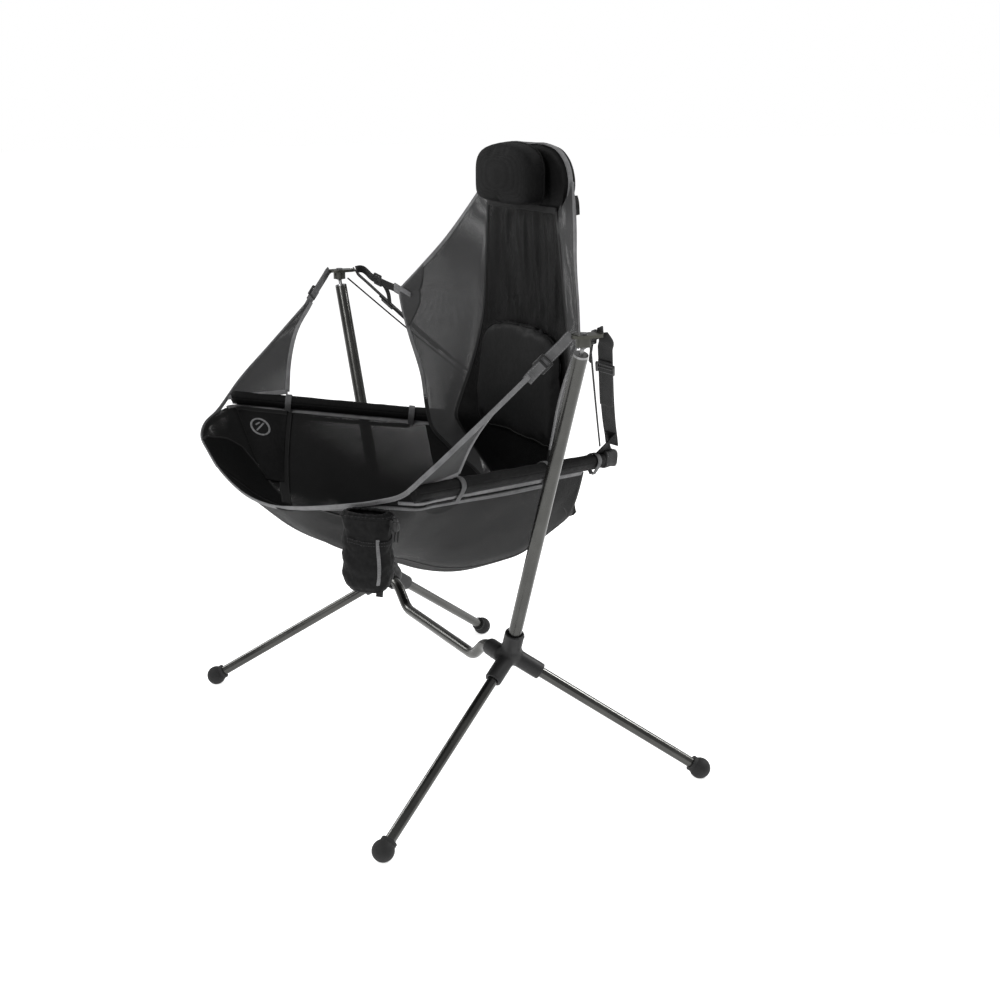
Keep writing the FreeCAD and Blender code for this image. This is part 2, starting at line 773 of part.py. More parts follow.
def edge_drop_at(reach):
    for (r0, _, e0), (r1, _, e1) in zip(SEAT_STATIONS, SEAT_STATIONS[1:]):
        if reach <= r1:
            return e0 + (e1 - e0) * (reach - r0) / (r1 - r0)
    return SEAT_STATIONS[-1][2]


def make_seat_base():
    sections = []
    for reach, middle_drop, edge_drop in SEAT_STATIONS:
        outline = band(seat_section(middle_drop, edge_drop), size("fabric"))
        sections.append((size("hub_setback") + reach, outline))
    loft("seat_base", sections, "XZ_Plane")
    rear = size("hub_setback") + size("seat_rear_reach")
    body = new_body("seat_rear_panel")
    sketch = new_sketch(body, "XZ_Plane", -rear)
    _, middle_drop, edge_drop = SEAT_STATIONS[-1]
    low = seat_section(middle_drop - 2, edge_drop - 2)
    top = FOLD_Z - size("recline_room")
    half = size("seat_half_width")
    add_outline(sketch, low + [(half, top), (-half, top)])
    pad(body, sketch, size("fabric"), "Sizes.fabric")


def side_panel_section(side, reach):
    """Cloth from the seat base's edge out and up to just under the side bar."""
    half = size("seat_half_width") + size("seam_gap")
    low = (side * half, PIVOT_Z - edge_drop_at(reach))
    if reach < -size("bar_front_reach"):
        beyond = -size("bar_front_reach") - reach
        corner_run = size("front_corner_run")
        top_point = mix(bar_front(side), front_corner(side), min(beyond / corner_run, 1))
        tuck = max(beyond - corner_run, 0)
        high = (top_point.x - side * tuck * 1.3, top_point.z - 16 - tuck * 0.2)
    else:
        bar = bar_at_reach(side, reach)
        high = (bar.x, bar.z - size("sleeve_diameter") / 2 - size("fabric") - 3)
    third = (low[0] + (high[0] - low[0]) * 0.5, low[1] + (high[1] - low[1]) * 0.36)
    points = [low, third, high]
    if side < 0:
        points = points[::-1]
    return band(points, size("fabric"))


def front_corner(side):
    """Where the front edge's binding turns in from the bar's front end."""
    return spot(side * (size("bar_front_spread") - 88),
                -size("bar_front_reach") - size("front_corner_run"),
                PIVOT_Z - size("bar_front_drop") - 22)


def make_side_panel(side_name, side):
    sections = []
    for reach in (-400, -355, -270, -150, 0, 130, 176):
        sections.append((size("hub_setback") + reach, side_panel_section(side, reach)))
    loft(f"side_panel_{side_name}", sections, "XZ_Plane")


# ---- back


def make_back_panel():
    sections = []
    levels = (
        (0.0, "back_low_half_width"),
        (0.5, "back_mid_half_width"),
        (0.8, "back_mid_half_width"),
        (1.0, "back_top_half_width"),
    )
    room = size("recline_room")
    for share, width in levels:
        height = room + (size("back_height") - room) * share
        half, y = back_point(height, size(width))
        outline = [(-half, y), (-half / 2, y + 5), (half / 2, y + 5), (half, y)]
        outline += [(x, y_now + size("fabric")) for x, y_now in outline[::-1]]
        sections.append((FOLD_Z + height, outline))
    loft("back_panel", sections, "XY_Plane")


def make_lumbar_pad():
    half = size("lumbar_half_width")
    thick = size("lumbar_thickness")
    room = size("recline_room") + 14
    sections = []
    for share, fat in ((0.0, 0.5), (0.3, 1.0), (0.7, 1.0), (1.0, 0.5)):
        height = room + size("lumbar_height") * share
        _, y = back_point(height, half)
        rear = y - 1
        front = rear - thick * fat
        outline = [(-half, rear), (-half * 0.8, front), (half * 0.8, front), (half, rear)]
        sections.append((FOLD_Z + height, outline))
    loft("lumbar_pad", sections, "XY_Plane")


def head_corner(side):
    """Where a wing meets the side of the head."""
    _, y = back_point(size("back_height"), 0)
    half = size("back_top_half_width") + 40
    return Vector(side * half, y + 2, FOLD_Z + size("back_height") + 32)


def make_wing(side_name, side):
    corner = wing_corner(side)
    head = head_corner(side)
    bar_end = bar_at_reach(side, 60) + Vector(0, 0, size("sleeve_diameter") / 2 + 6)
    bottom = FOLD_Z + 78
    seam = size("seam_gap")
    sections = []
    levels = (bottom, mix(Vector(0, 0, bottom), corner, 0.5).z, corner.z,
              mix(corner, head, 0.45).z, mix(corner, head, 0.97).z)
    for level in levels:
        height = min(level - FOLD_Z, size("back_height"))
        share = height / size("back_height")
        low, mid, top = (size(f"back_{part}_half_width") for part in ("low", "mid", "top"))
        if share < 0.5:
            half = low + (mid - low) * share / 0.5
        elif share < 0.8:
            half = mid
        else:
            half = mid + (top - mid) * (share - 0.8) / 0.2
        _, y = back_point(height, half)
        if level <= corner.z:
            share = (level - bar_end.z) / (corner.z - bar_end.z)
            outer = mix(bar_end, corner, share)
        else:
            share = (level - corner.z) / (head.z - corner.z)
            outer = mix(corner, head, share)
        inner = Vector(side * (half + seam), y, level)
        run = Vector(outer.x - inner.x, outer.y - inner.y, 0).normalize()
        across = Vector(-run.y, run.x, 0) * size("fabric") * (-side)
        sections.append(
            (level, [(p.x, p.y) for p in (inner, outer, outer - across, inner - across)])
        )
    loft(f"wing_{side_name}", sections, "XY_Plane")


def head_reach():
    _, y = back_point(size("back_height"), 0)
    return y


def make_head():
    """The bent rod that spreads the head, and the hood of fabric it carries."""
    rod_radius = size("hoop_rod_diameter") / 2
    radius = size("hoop_radius")
    centre_z = FOLD_Z + size("back_height") + size("hoop_leg") - 58
    y = head_reach() + size("fabric") + 5 + rod_radius + 3
    body = new_body("head_hoop")
    path = new_sketch(body, "XZ_Plane", -y)
    foot_z = centre_z - size("hoop_leg")
    rise = 0.68 * radius
    path.addGeometry(
        [
            Part.LineSegment(Vector(-radius, foot_z, 0), Vector(-radius, centre_z, 0)),
            Part.Arc(Vector(-radius, centre_z, 0), Vector(-0.7 * radius, centre_z + 0.72 * rise, 0),
                     Vector(-0.35 * radius, centre_z + rise, 0)),
            Part.LineSegment(Vector(-0.35 * radius, centre_z + rise, 0),
                             Vector(0.35 * radius, centre_z + rise, 0)),
            Part.Arc(Vector(0.35 * radius, centre_z + rise, 0),
                     Vector(0.7 * radius, centre_z + 0.72 * rise, 0), Vector(radius, centre_z, 0)),
            Part.LineSegment(Vector(radius, centre_z, 0), Vector(radius, foot_z, 0)),
        ],
        False,
    )
    ring = new_sketch(body, "XY_Plane", foot_z)
    add_circle(ring, rod_radius, "Sizes.hoop_rod_diameter / 2", centre=(-radius, y))
    pipe = body.newObject("PartDesign::AdditivePipe", "Pipe")
    pipe.Profile = ring
    pipe.Spine = (path, [])
    # hood in front of the hoop
    hood = new_body("head_hood")
    sketch = new_sketch(hood, "XZ_Plane", -(y - rod_radius - 1))
    low = FOLD_Z + size("back_height") + size("seam_gap")
    half = radius - rod_radius
    outline = [(-half, low), (half, low), (half, centre_z), (0.72 * radius, centre_z + 0.6 * rise),
               (0.36 * radius, centre_z + rise - rod_radius)]
    outline += [(-x, z) for x, z in outline[:1:-1]]
    add_outline(sketch, outline)
    pad(hood, sketch, size("fabric"), "Sizes.fabric")
    # pull tab on the left of the head
    start = Vector(radius + rod_radius + 3, y, centre_z + 18)
    strap("pull_tab", start, start + Vector(0, 6, -30), "wing_strap_width", Vector(0, 1, 0))


def make_pillow():
    half = size("pillow_half_width")
    depth = size("pillow_depth")
    bottom = FOLD_Z + size("back_height") + 8
    rear = head_reach() - size("pillow_gap")
    body = new_body("pillow", Placement(Vector(0, rear - depth / 2, bottom), Rotation()))
    sketch = new_sketch(body)
    add_rectangle(sketch, 2 * half, depth, None, "pillow_depth")
    pad(body, sketch, size("pillow_height"), "Sizes.pillow_height")
    doc.recompute()
    tip = body.Tip
    edges = [f"Edge{i + 1}" for i in range(len(tip.Shape.Edges))]
    feature = body.newObject("PartDesign::Fillet", "Fillet")
    feature.Base = (tip, edges)
    feature.Radius = depth * 0.3


# ---- pockets


def make_bottle_pocket():
    """An open-topped pocket with a rounded bottom on the left side."""
    depth = size("pocket_depth")
    edge = front_corner(1) - bar_front(1)
    outward = Vector(-edge.y, edge.x, 0).normalize()
    middle = mix(bar_front(1), front_corner(1), 0.58) - Vector(0, 0, 16)
    centre = middle + outward * (depth / 2 + size("fabric") + 2)
    turn = Rotation(outward, Vector(0, 0, 1).cross(outward), Vector(0, 0, 1), "ZXY")
    body = new_body("bottle_pocket", Placement(centre, turn))
    sketch = new_sketch(body, lift=-size("pocket_height"))
    add_rectangle(sketch, depth, size("pocket_length"), "pocket_depth", "pocket_length")
    pad(body, sketch, size("pocket_height"), "Sizes.pocket_height")
    doc.recompute()
    tip = body.Tip
    chosen = []
    for i, edge in enumerate(tip.Shape.Edges):
        box = edge.BoundBox
        if box.ZMin < -1 and box.ZMax - box.ZMin > 1 or box.ZMax < -size("pocket_height") + 1:
            chosen.append(f"Edge{i + 1}")
    fillet = body.newObject("PartDesign::Fillet", "Fillet")
    fillet.Base = (tip, chosen)
    fillet.Radius = depth * 0.3
    doc.recompute()
    hollow = new_sketch(body)
    wall = size("pocket_wall")
    add_rectangle(hollow, depth - 4 * wall, size("pocket_length") - 4 * wall)
    cut_through(body, hollow, size("pocket_height") - 6 * wall)
    lock_at = centre + turn.multVec(Vector(0, size("pocket_length") / 2 + 8, -12))
    rod("cord_lock", lock_at, lock_at + Vector(0, 0, -16), "lock_diameter")


def make_inner_pocket():
    """A flat pocket on the inside of the right panel, by the front."""
    side = -1
    length = size("inner_pocket_length")
    reach = -size("bar_front_reach") + 4 + length / 2
    high, third = (Vector(x, 0, z) for x, z in side_panel_section(side, reach)[:2])
    slope = (high - third).normalize()
    inward = Vector(-slope.z * side, 0, slope.x * side).normalize()
    lift = size("inner_pocket_thickness") / 2 + size("fabric") + 9
    base = spot(high.x, reach, high.z) - slope * 26 + inward * lift
    body = new_body("inner_pocket", Placement(base, turned(slope * -1, Vector(0, 1, 0))))
    sketch = new_sketch(body)
    add_rectangle(sketch, length, size("inner_pocket_thickness"),
                  "inner_pocket_length", "inner_pocket_thickness")
    pad(body, sketch, size("inner_pocket_height"), "Sizes.inner_pocket_height")


def build():
    for side_name, side in SIDES:
        make_hub(f"hub_{side_name}", side)
        make_upright(side_name, side)
        for end in ("front", "rear"):
            make_leg(end, side_name, side)
    make_crossbar()
    make_hub_screws()
    gussets, wings, caps = [], [], []
    for side_name, side in SIDES:
        make_plate(side_name, side)
        caps.append(make_bar(side_name, side))
        gussets.append(make_gusset(side_name, side))
        make_rear_strap(side_name, side)
        wings.append(make_wing_strap(side_name, side))
        make_side_panel(side_name, side)
        make_wing(side_name, side)
    group("bar_end_caps", caps)
    make_plate_rivets()
    make_buckles(gussets, wings)
    make_seat_base()
    make_back_panel()
    make_lumbar_pad()
    make_head()
    make_pillow()
    make_bottle_pocket()
    make_inner_pocket()


def check_and_write():
    doc.recompute()
    for obj in doc.Objects:
        if "Invalid" in obj.State or "Error" in obj.State:
            raise RuntimeError(f"{obj.Label} failed: {obj.State}")
    for obj in nodes:
        shape = obj.Shape
        if shape.isNull() or not shape.isValid() or not shape.Solids:
            raise RuntimeError(f"{obj.Label} has no valid solid")
    os.makedirs("parts", exist_ok=True)
    for obj in nodes:
        obj.Shape.exportStep(os.path.join("parts", f"{obj.Label}.step"))
    print(f"{len(nodes)} nodes written")


build()
check_and_write()
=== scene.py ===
"""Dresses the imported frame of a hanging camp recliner: fabric, mesh, webbing,
buckles and finishes, with a pale studio floor, soft lights and a camera.

Points are given in millimetres from the middle of the hubs' plane on the
ground, +X to the sitter's left and -Y ahead of the sitter.
"""

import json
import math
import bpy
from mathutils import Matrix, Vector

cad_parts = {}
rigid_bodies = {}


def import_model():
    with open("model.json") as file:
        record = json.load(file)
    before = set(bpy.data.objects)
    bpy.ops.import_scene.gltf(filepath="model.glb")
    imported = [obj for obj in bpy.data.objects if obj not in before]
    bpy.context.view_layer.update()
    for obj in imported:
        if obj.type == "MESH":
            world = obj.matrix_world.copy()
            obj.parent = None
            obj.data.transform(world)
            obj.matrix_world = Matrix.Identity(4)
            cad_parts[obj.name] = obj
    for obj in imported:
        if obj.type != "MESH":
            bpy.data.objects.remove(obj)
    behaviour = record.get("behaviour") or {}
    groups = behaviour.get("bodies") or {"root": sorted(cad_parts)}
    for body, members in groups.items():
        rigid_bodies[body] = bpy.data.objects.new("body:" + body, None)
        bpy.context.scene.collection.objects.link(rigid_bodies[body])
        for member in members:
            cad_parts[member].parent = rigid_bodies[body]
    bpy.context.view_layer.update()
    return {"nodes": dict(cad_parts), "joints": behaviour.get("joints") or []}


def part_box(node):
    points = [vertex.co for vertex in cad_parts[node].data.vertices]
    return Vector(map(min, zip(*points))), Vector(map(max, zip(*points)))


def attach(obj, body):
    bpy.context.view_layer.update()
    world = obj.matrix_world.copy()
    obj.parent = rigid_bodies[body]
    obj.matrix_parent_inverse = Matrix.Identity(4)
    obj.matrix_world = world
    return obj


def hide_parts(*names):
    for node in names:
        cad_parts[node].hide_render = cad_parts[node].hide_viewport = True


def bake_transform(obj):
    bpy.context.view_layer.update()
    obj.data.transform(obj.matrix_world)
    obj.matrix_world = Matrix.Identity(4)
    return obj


bl_info = {
    "name": "Camp Recliner Dressing",
    "version": (1, 0, 0),
    "blender": (4, 5, 0),
    "location": "View3D > Sidebar > Recliner",
    "description": "Fabric, webbing, hardware and finishes of a hanging camp recliner",
    "category": "Object",
}

import bpy
import numpy as np
from mathutils import Vector, noise
from mathutils.bvhtree import BVHTree

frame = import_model()

JOINTS = {joint["name"]: joint for joint in frame["joints"]}
SWING = Vector(JOINTS["seat_swing"]["pos_m"])
HUB_PLANE = SWING.y * 1000
SIDES = (("left", 1), ("right", -1))

# ---- points of the frame


def at(x, y, z):
    """A point in metres, from millimetres behind the hubs' plane."""
    return np.array([x, HUB_PLANE + y, z]) / 1000


def ats(points):
    return [at(*p) for p in points]


def mirrored(points, side):
    return [(side * x, y, z) for x, y, z in points]


BAR_FRONT = (443, -275, 637)
BAR_REAR = (177, 276, 574)
SLEEVE_RADIUS = 13.5


def bar_at(reach):
    """The middle of the left side bar at a distance behind the hubs' plane."""
    share = (reach - BAR_FRONT[1]) / (BAR_REAR[1] - BAR_FRONT[1])
    return tuple(a + (b - a) * share for a, b in zip(BAR_FRONT, BAR_REAR))


# reach, height of the seat base's middle and of its edges
SEAT_LINE = [
    (-408, 546, 563),
    (-385, 527, 543),
    (-360, 505, 521),
    (-330, 479, 495),
    (-270, 444, 462),
    (-175, 406, 434),
    (-94, 368, 404),
    (-31, 354, 395),
    (30, 355, 398),
    (78, 362, 406),
    (130, 392, 432),
    (165, 414, 452),
    (194, 432, 468),
]
BASE_HALF = 165

# ---- smooth lines and surfaces


def hermite(knots, values, at_knots):
    """Smooth values between knots, one row of values to each knot."""
    knots, values = np.asarray(knots, float), np.asarray(values, float)
    gaps = np.diff(knots)
    shape = (-1,) + (1,) * (values.ndim - 1)
    rises = np.diff(values, axis=0) / gaps.reshape(shape)
    slopes = np.empty_like(values)
    slopes[0], slopes[-1] = rises[0], rises[-1]
    if len(knots) > 2:
        before, after = gaps[:-1].reshape(shape), gaps[1:].reshape(shape)
        slopes[1:-1] = (rises[:-1] * after + rises[1:] * before) / (before + after)
    i = np.clip(np.searchsorted(knots, at_knots, "right") - 1, 0, len(knots) - 2)
    h = gaps[i].reshape(shape)
    t = ((at_knots - knots[i]) / gaps[i]).reshape(shape)
    a, b = values[i], values[i + 1]
    m, n = slopes[i] * h, slopes[i + 1] * h
    return (
        (2 * t**3 - 3 * t**2 + 1) * a
        + (t**3 - 2 * t**2 + t) * m
        + (3 * t**2 - 2 * t**3) * b
        + (t**3 - t**2) * n
    )


def lengths(points):
    steps = np.linalg.norm(np.diff(np.asarray(points, float), axis=0), axis=1)
    return np.concatenate([[0], np.cumsum(steps)])


def line(points, count, values=None):
    """count points on a smooth line through points, or values carried along it."""
    points = np.asarray(points, float)
    knots = lengths(points)
    fine = np.linspace(0, knots[-1], 24 * len(points))
    run = lengths(hermite(knots, points, fine))
    spots = np.interp(np.linspace(0, run[-1], count), run, fine)
    return hermite(knots, points if values is None else np.asarray(values, float), spots)


def net(rows, across, along):
    """A grid of points, along x across, on a smooth surface through rows."""
    lines = np.array([line(row, across) for row in rows])
    steps = np.linalg.norm(np.diff(lines, axis=0), axis=2).mean(1)
    knots = np.concatenate([[0], np.cumsum(steps)])
    return hermite(knots, lines, np.linspace(0, knots[-1], along))


def unit(vectors):
    vectors = np.asarray(vectors, float)
    return vectors / np.maximum(np.linalg.norm(vectors, axis=-1, keepdims=True), 1e-9)


def grid_normals(grid):
    down = np.gradient(grid, axis=0)
    over = np.gradient(grid, axis=1)
    return unit(np.cross(over, down))


def rumple(grid, amount, grain, seed):
    """Moves a grid along its normals by soft folds; grain is folds per metre on x, y, z."""
    normals = grid_normals(grid)
    rows, columns = grid.shape[:2]
    out = grid.copy()
    for i in range(rows):
        for j in range(columns):
            p = grid[i, j]
            seat = Vector((p[0] * grain[0] + seed, p[1] * grain[1], p[2] * grain[2]))
            fold = noise.noise(seat) + 0.45 * noise.noise(seat * 2.3)
            u, v = i / (rows - 1), j / (columns - 1)
            # the edges hardly move, because they are sewn
            fold *= min(1.0, 9 * min(u, 1 - u, v, 1 - v) + 0.08)
            out[i, j] += normals[i, j] * fold * amount
    return out


# ---- mesh building


class Shape:
    """Points and faces gathered into one mesh, with a finish number to each face."""

    def __init__(self):
        self.points, self.faces, self.uvs, self.marks = [], [], [], []

    def add(self, points, faces, uvs=None, mark=0):
        first = len(self.points)
        points = np.asarray(points, float).reshape(-1, 3)
        self.points.extend(map(tuple, points))
        uvs = points[:, :2] if uvs is None else np.asarray(uvs, float).reshape(-1, 2)
        self.uvs.extend(map(tuple, uvs))
        self.faces.extend([tuple(first + i for i in face) for face in faces])
        self.marks.extend([mark] * len(faces))

    def build(self, name, *finishes):
        mesh = bpy.data.meshes.new(name)
        mesh.from_pydata(self.points, [], self.faces)
        for finish in finishes:
            mesh.materials.append(finish)
        mesh.polygons.foreach_set("material_index", self.marks)
        mesh.polygons.foreach_set("use_smooth", [True] * len(mesh.polygons))
        corners = np.zeros(len(mesh.loops), np.int32)
        mesh.loops.foreach_get("vertex_index", corners)
        layer = mesh.uv_layers.new(name="Cloth")
        layer.data.foreach_set("uv", np.array(self.uvs, np.float32)[corners].ravel())
        mesh.validate()
        mesh.update()
        obj = bpy.data.objects.new(name, mesh)
        bpy.context.scene.collection.objects.link(obj)
        return obj


def grid_faces(rows, columns, wrap=False):
    faces = []
    for i in range(rows - 1):
        for j in range(columns if wrap else columns - 1):
            k = (j + 1) % columns
            faces.append(
                (i * columns + j, i * columns + k, (i + 1) * columns + k, (i + 1) * columns + j)
            )
    return faces


def tube_faces(rows, columns):
    """Faces round a closed outline's rows, with a face over each end."""
    faces = grid_faces(rows, columns, wrap=True)
    faces.append(tuple(range(columns))[::-1])
    faces.append(tuple((rows - 1) * columns + j for j in range(columns)))
    return faces


def grid_uvs(grid):
    """Cloth coordinates in metres, so that a weave keeps its scale."""
    over = np.linalg.norm(np.diff(grid, axis=1), axis=2).mean(0)
    down = np.linalg.norm(np.diff(grid, axis=0), axis=2).mean(1)
    u = np.concatenate([[0], np.cumsum(over)])
    v = np.concatenate([[0], np.cumsum(down)])
    return np.stack(np.meshgrid(u, v), axis=-1)


def thicken(obj, thickness, offset=0.0):
    modifier = obj.modifiers.new("Thickness", "SOLIDIFY")
    modifier.thickness = thickness
    modifier.offset = offset
    return obj


def cloth(name, grid, finish, thickness):
    """A sheet of cloth on a grid of points."""
    shape = Shape()
    shape.add(grid, grid_faces(*grid.shape[:2]), grid_uvs(grid))
    return thicken(shape.build(name, finish), thickness)


def cut_sizes(grid):
    """Width, length and area of a grid's cloth, as it was cut."""
    width = max(lengths(row)[-1] for row in grid)
    length = max(lengths(grid[:, j])[-1] for j in range(grid.shape[1]))
    a, b, c, d = grid[:-1, :-1], grid[:-1, 1:], grid[1:, 1:], grid[1:, :-1]
    area = 0.5 * np.linalg.norm(np.cross(c - a, d - b), axis=2).sum()
    return round(width, 3), round(length, 3), area


def declare(grid):
    """Works out the width, length and area of a grid's cloth and clamps the area, but keeps none of
    them.
    """
    width, length, area = cut_sizes(grid)
    area = min(max(area, 0.31 * width * length), 0.99 * width * length)


def frames_along(path, facing, closed=False):
    """Tangent, side and up at each point of a path."""
    path = np.asarray(path, float)
    if closed:
        tangent = unit(np.roll(path, -1, axis=0) - np.roll(path, 1, axis=0))
    else:
        tangent = unit(np.gradient(path, axis=0))
    facing = np.broadcast_to(np.asarray(facing, float), path.shape)
    side = unit(np.cross(tangent, facing))
    return tangent, side, np.cross(side, tangent)


def swept(shape, path, ring, side, up, closed=False, mark=0):
    """A closed outline carried along a path; ring is (side, up) pairs in metres."""
    path, ring = np.asarray(path, float), np.asarray(ring, float)
    rows, columns = len(path), len(ring)
    points = (
        path[:, None]
        + side[:, None] * ring[None, :, :1]
        + up[:, None] * ring[None, :, 1:]
    )
    along = lengths(path)
    around = lengths(ring)
    uvs = np.stack(np.meshgrid(around, along), axis=-1)
    if closed:
        faces = grid_faces(rows, columns, wrap=True)
        last = (rows - 1) * columns
        for j in range(columns):
            k = (j + 1) % columns
            faces.append((last + j, last + k, k, j))
    else:
        faces = tube_faces(rows, columns)
    shape.add(points, faces, uvs, mark)


def turned(step, steps):
    """Cosine and sine of a share of a whole turn."""
    angle = 2 * math.pi * step / steps
    return math.cos(angle), math.sin(angle)


def boxed(value, power):
    """A cosine or sine drawn out towards -1 and 1 as power falls."""
    return math.copysign(abs(value) ** power, value)


def oval(half_width, half_height, count, squareness):
    """A rounded outline, boxier as squareness falls."""
    ring = []
    for i in range(count):
        c, s = turned(i + 0.5, count)
        ring.append((half_width * boxed(c, squareness), half_height * boxed(s, squareness)))
    return ring


STITCH_PITCH = 0.0042
STITCH_LENGTH = 0.0029
THREAD_SLOT = 1


def sew(shape, path, side, up, offset, lift):
    """A run of thread stitches beside a path."""
    path = np.asarray(path, float)
    run = lengths(path)
    half, quarter = STITCH_LENGTH / 2, STITCH_LENGTH / 4
    for i in range(int(run[-1] / STITCH_PITCH)):
        ends = (i + 0.5) * STITCH_PITCH + np.array([-half, -quarter, quarter, half])
        core = np.array([np.interp(ends, run, path[:, k]) for k in range(3)]).T
        s = np.array([np.interp(ends, run, side[:, k]) for k in range(3)]).T
        u = np.array([np.interp(ends, run, up[:, k]) for k in range(3)]).T
        core = core + s * offset + u * (lift * np.array([0.6, 1, 1, 0.6]))[:, None]
        swept(shape, core, oval(0.00045, 0.0003, 5, 1.0), s, u, mark=THREAD_SLOT)


STITCH_INSET = 0.0018


def tape(name, path, facing, width, thickness, finish, thread, closed=False):
    """A flat strip along a path, with a line of stitches near each edge of both faces."""
    shape = Shape()
    _, side, up = frames_along(path, facing, closed)
    swept(shape, path, oval(width / 2, thickness / 2, 14, 0.4), side, up, closed)
    for offset in (-width / 2 + STITCH_INSET, width / 2 - STITCH_INSET):
        for face in (up, -up):
            sew(shape, path, side, face, offset, thickness / 2)
    return shape.build(name, finish, thread)


def rope(name, path, radius, finish):
    shape = Shape()
    _, side, up = frames_along(path, (0.13, 0.31, 0.94))
    swept(shape, path, oval(radius, radius, 10, 1.0), side, up)
    return shape.build(name, finish)


def add_bar(shape, start, end, across, half_width, half_height):
    """A short bar with rounded edges and ends."""
    start, end = np.asarray(start, float), np.asarray(end, float)
    shares = [0, 0.03, 0.1, 0.5, 0.9, 0.97, 1]
    swell = [0.55, 0.86, 1, 1, 1, 0.86, 0.55]
    path = np.array([start + (end - start) * s for s in shares])
    _, side, up = frames_along(path, across)
    ring = np.array(oval(half_width, half_height, 12, 0.5))
    points = [
        path[i] + side[i] * x * swell[i] + up[i] * y * swell[i]
        for i in range(len(path))
        for x, y in ring
    ]
    shape.add(points, tube_faces(len(path), len(ring)))


def ladder_lock(name, centre, along, across, width, length, finish):
    """A webbing adjuster: two rails joined by three bars, the last one a raised lip."""
    centre, along, across = np.asarray(centre), unit(along), unit(across)
    up = np.cross(along, across)
    shape = Shape()
    for way in (-1, 1):
        edge = centre + across * way * width / 2
        add_bar(shape, edge - along * length / 2, edge + along * length / 2, across,
                0.0024, 0.0022)
    for share, lift, fat in ((-0.46, 0.0, 0.0021), (-0.06, 0.0008, 0.002), (0.44, 0.0022, 0.0027)):
        middle = centre + along * length * share + up * lift
        add_bar(shape, middle - across * width / 2, middle + across * width / 2, up, fat, fat)
    return shape.build(name, finish)


def loop(name, centre, axis, radius, reach, width, finish):
    """A band of webbing round a bar whose two ends meet reach below it."""
    axis = unit(axis)
    down = unit(np.array([0, 0, -1]) - axis * np.dot(axis, (0, 0, -1)))
    out = np.cross(axis, down)
    path = []
    for step in range(13):
        angle = math.radians(-120 + 240 * step / 12)
        path.append(centre - down * math.cos(angle) * radius + out * math.sin(angle) * radius)
    tail = centre + down * reach
    path = [tail - out * 0.0022] + path + [tail + out * 0.0022]
    path = line(path, 44)
    _, side, up = frames_along(path, axis)
    shape = Shape()
    ring = oval(0.0008, width / 2, 12, 0.4)
    swept(shape, path, ring, side, up)
    return shape.build(name, finish)


def near_surface(objects):
    """Finds the nearest surface of finished objects."""
    points, faces = [], []
    for obj in objects:
        first = len(points)
        points += [v.co.copy() for v in obj.data.vertices]
        faces += [[first + i for i in p.vertices] for p in obj.data.polygons]
    return BVHTree.FromPolygons(points, faces)


def laid_on(tree, path, lift):
    """A path moved onto the nearest surface, lift above it, with its normals."""
    points, normals = [], []
    for p in path:
        spot, normal, _, _ = tree.find_nearest(Vector(p))
        points.append(np.array(spot + normal * lift))
        normals.append(np.array(normal))
    return np.array(points), np.array(normals)


PUFF_STEPS = 20


def puff(obj, voxel, cap, pressure=4.0):
    """Remeshes a closed pad and inflates it as cloth, each point moving at most cap."""
    remesh = obj.modifiers.new("Remesh", "REMESH")
    remesh.mode = "VOXEL"
    remesh.voxel_size = voxel
    settle(obj)
    start = read_points(obj)
    cloth_modifier = obj.modifiers.new("Cloth", "CLOTH")
    settings = cloth_modifier.settings
    settings.quality = 6
    settings.mass = 0.25
    settings.tension_stiffness = settings.compression_stiffness = 18
    settings.bending_stiffness = 1.2
    settings.use_pressure = True
    settings.uniform_pressure_force = pressure
    settings.effector_weights.gravity = 0
    for step in range(1, PUFF_STEPS + 1):
        bpy.context.scene.frame_set(step)
    settle(obj)
    bpy.context.scene.frame_set(1)
    moved = read_points(obj) - start
    run = np.linalg.norm(moved, axis=1, keepdims=True)
    held = start + moved * np.minimum(1, cap / np.maximum(run, 1e-9))
    obj.data.vertices.foreach_set("co", held.astype(np.float32).ravel())
    smooth = obj.modifiers.new("Smooth", "SMOOTH")
    smooth.factor, smooth.iterations = 0.5, 4
    settle(obj)
    obj.data.polygons.foreach_set("use_smooth", [True] * len(obj.data.polygons))
    return obj


def settle(obj):
    """Makes the modifiers' result the object's own mesh."""
    bpy.context.view_layer.update()
    graph = bpy.context.evaluated_depsgraph_get()
    done = bpy.data.meshes.new_from_object(obj.evaluated_get(graph), depsgraph=graph)
    old = obj.data
    obj.modifiers.clear()
    obj.data = done
    bpy.data.meshes.remove(old)


def read_points(obj):
    co = np.zeros(len(obj.data.vertices) * 3, np.float32)
    obj.data.vertices.foreach_get("co", co)
    return co.reshape(-1, 3).astype(float)


def subdivide(obj):
    modifier = obj.modifiers.new("Subdivision", "SUBSURF")
    modifier.levels = modifier.render_levels = 1


# ---- finishes


# the wave texture's own scale for stripes one unit apart
WAVE_SCALE = 0.314159


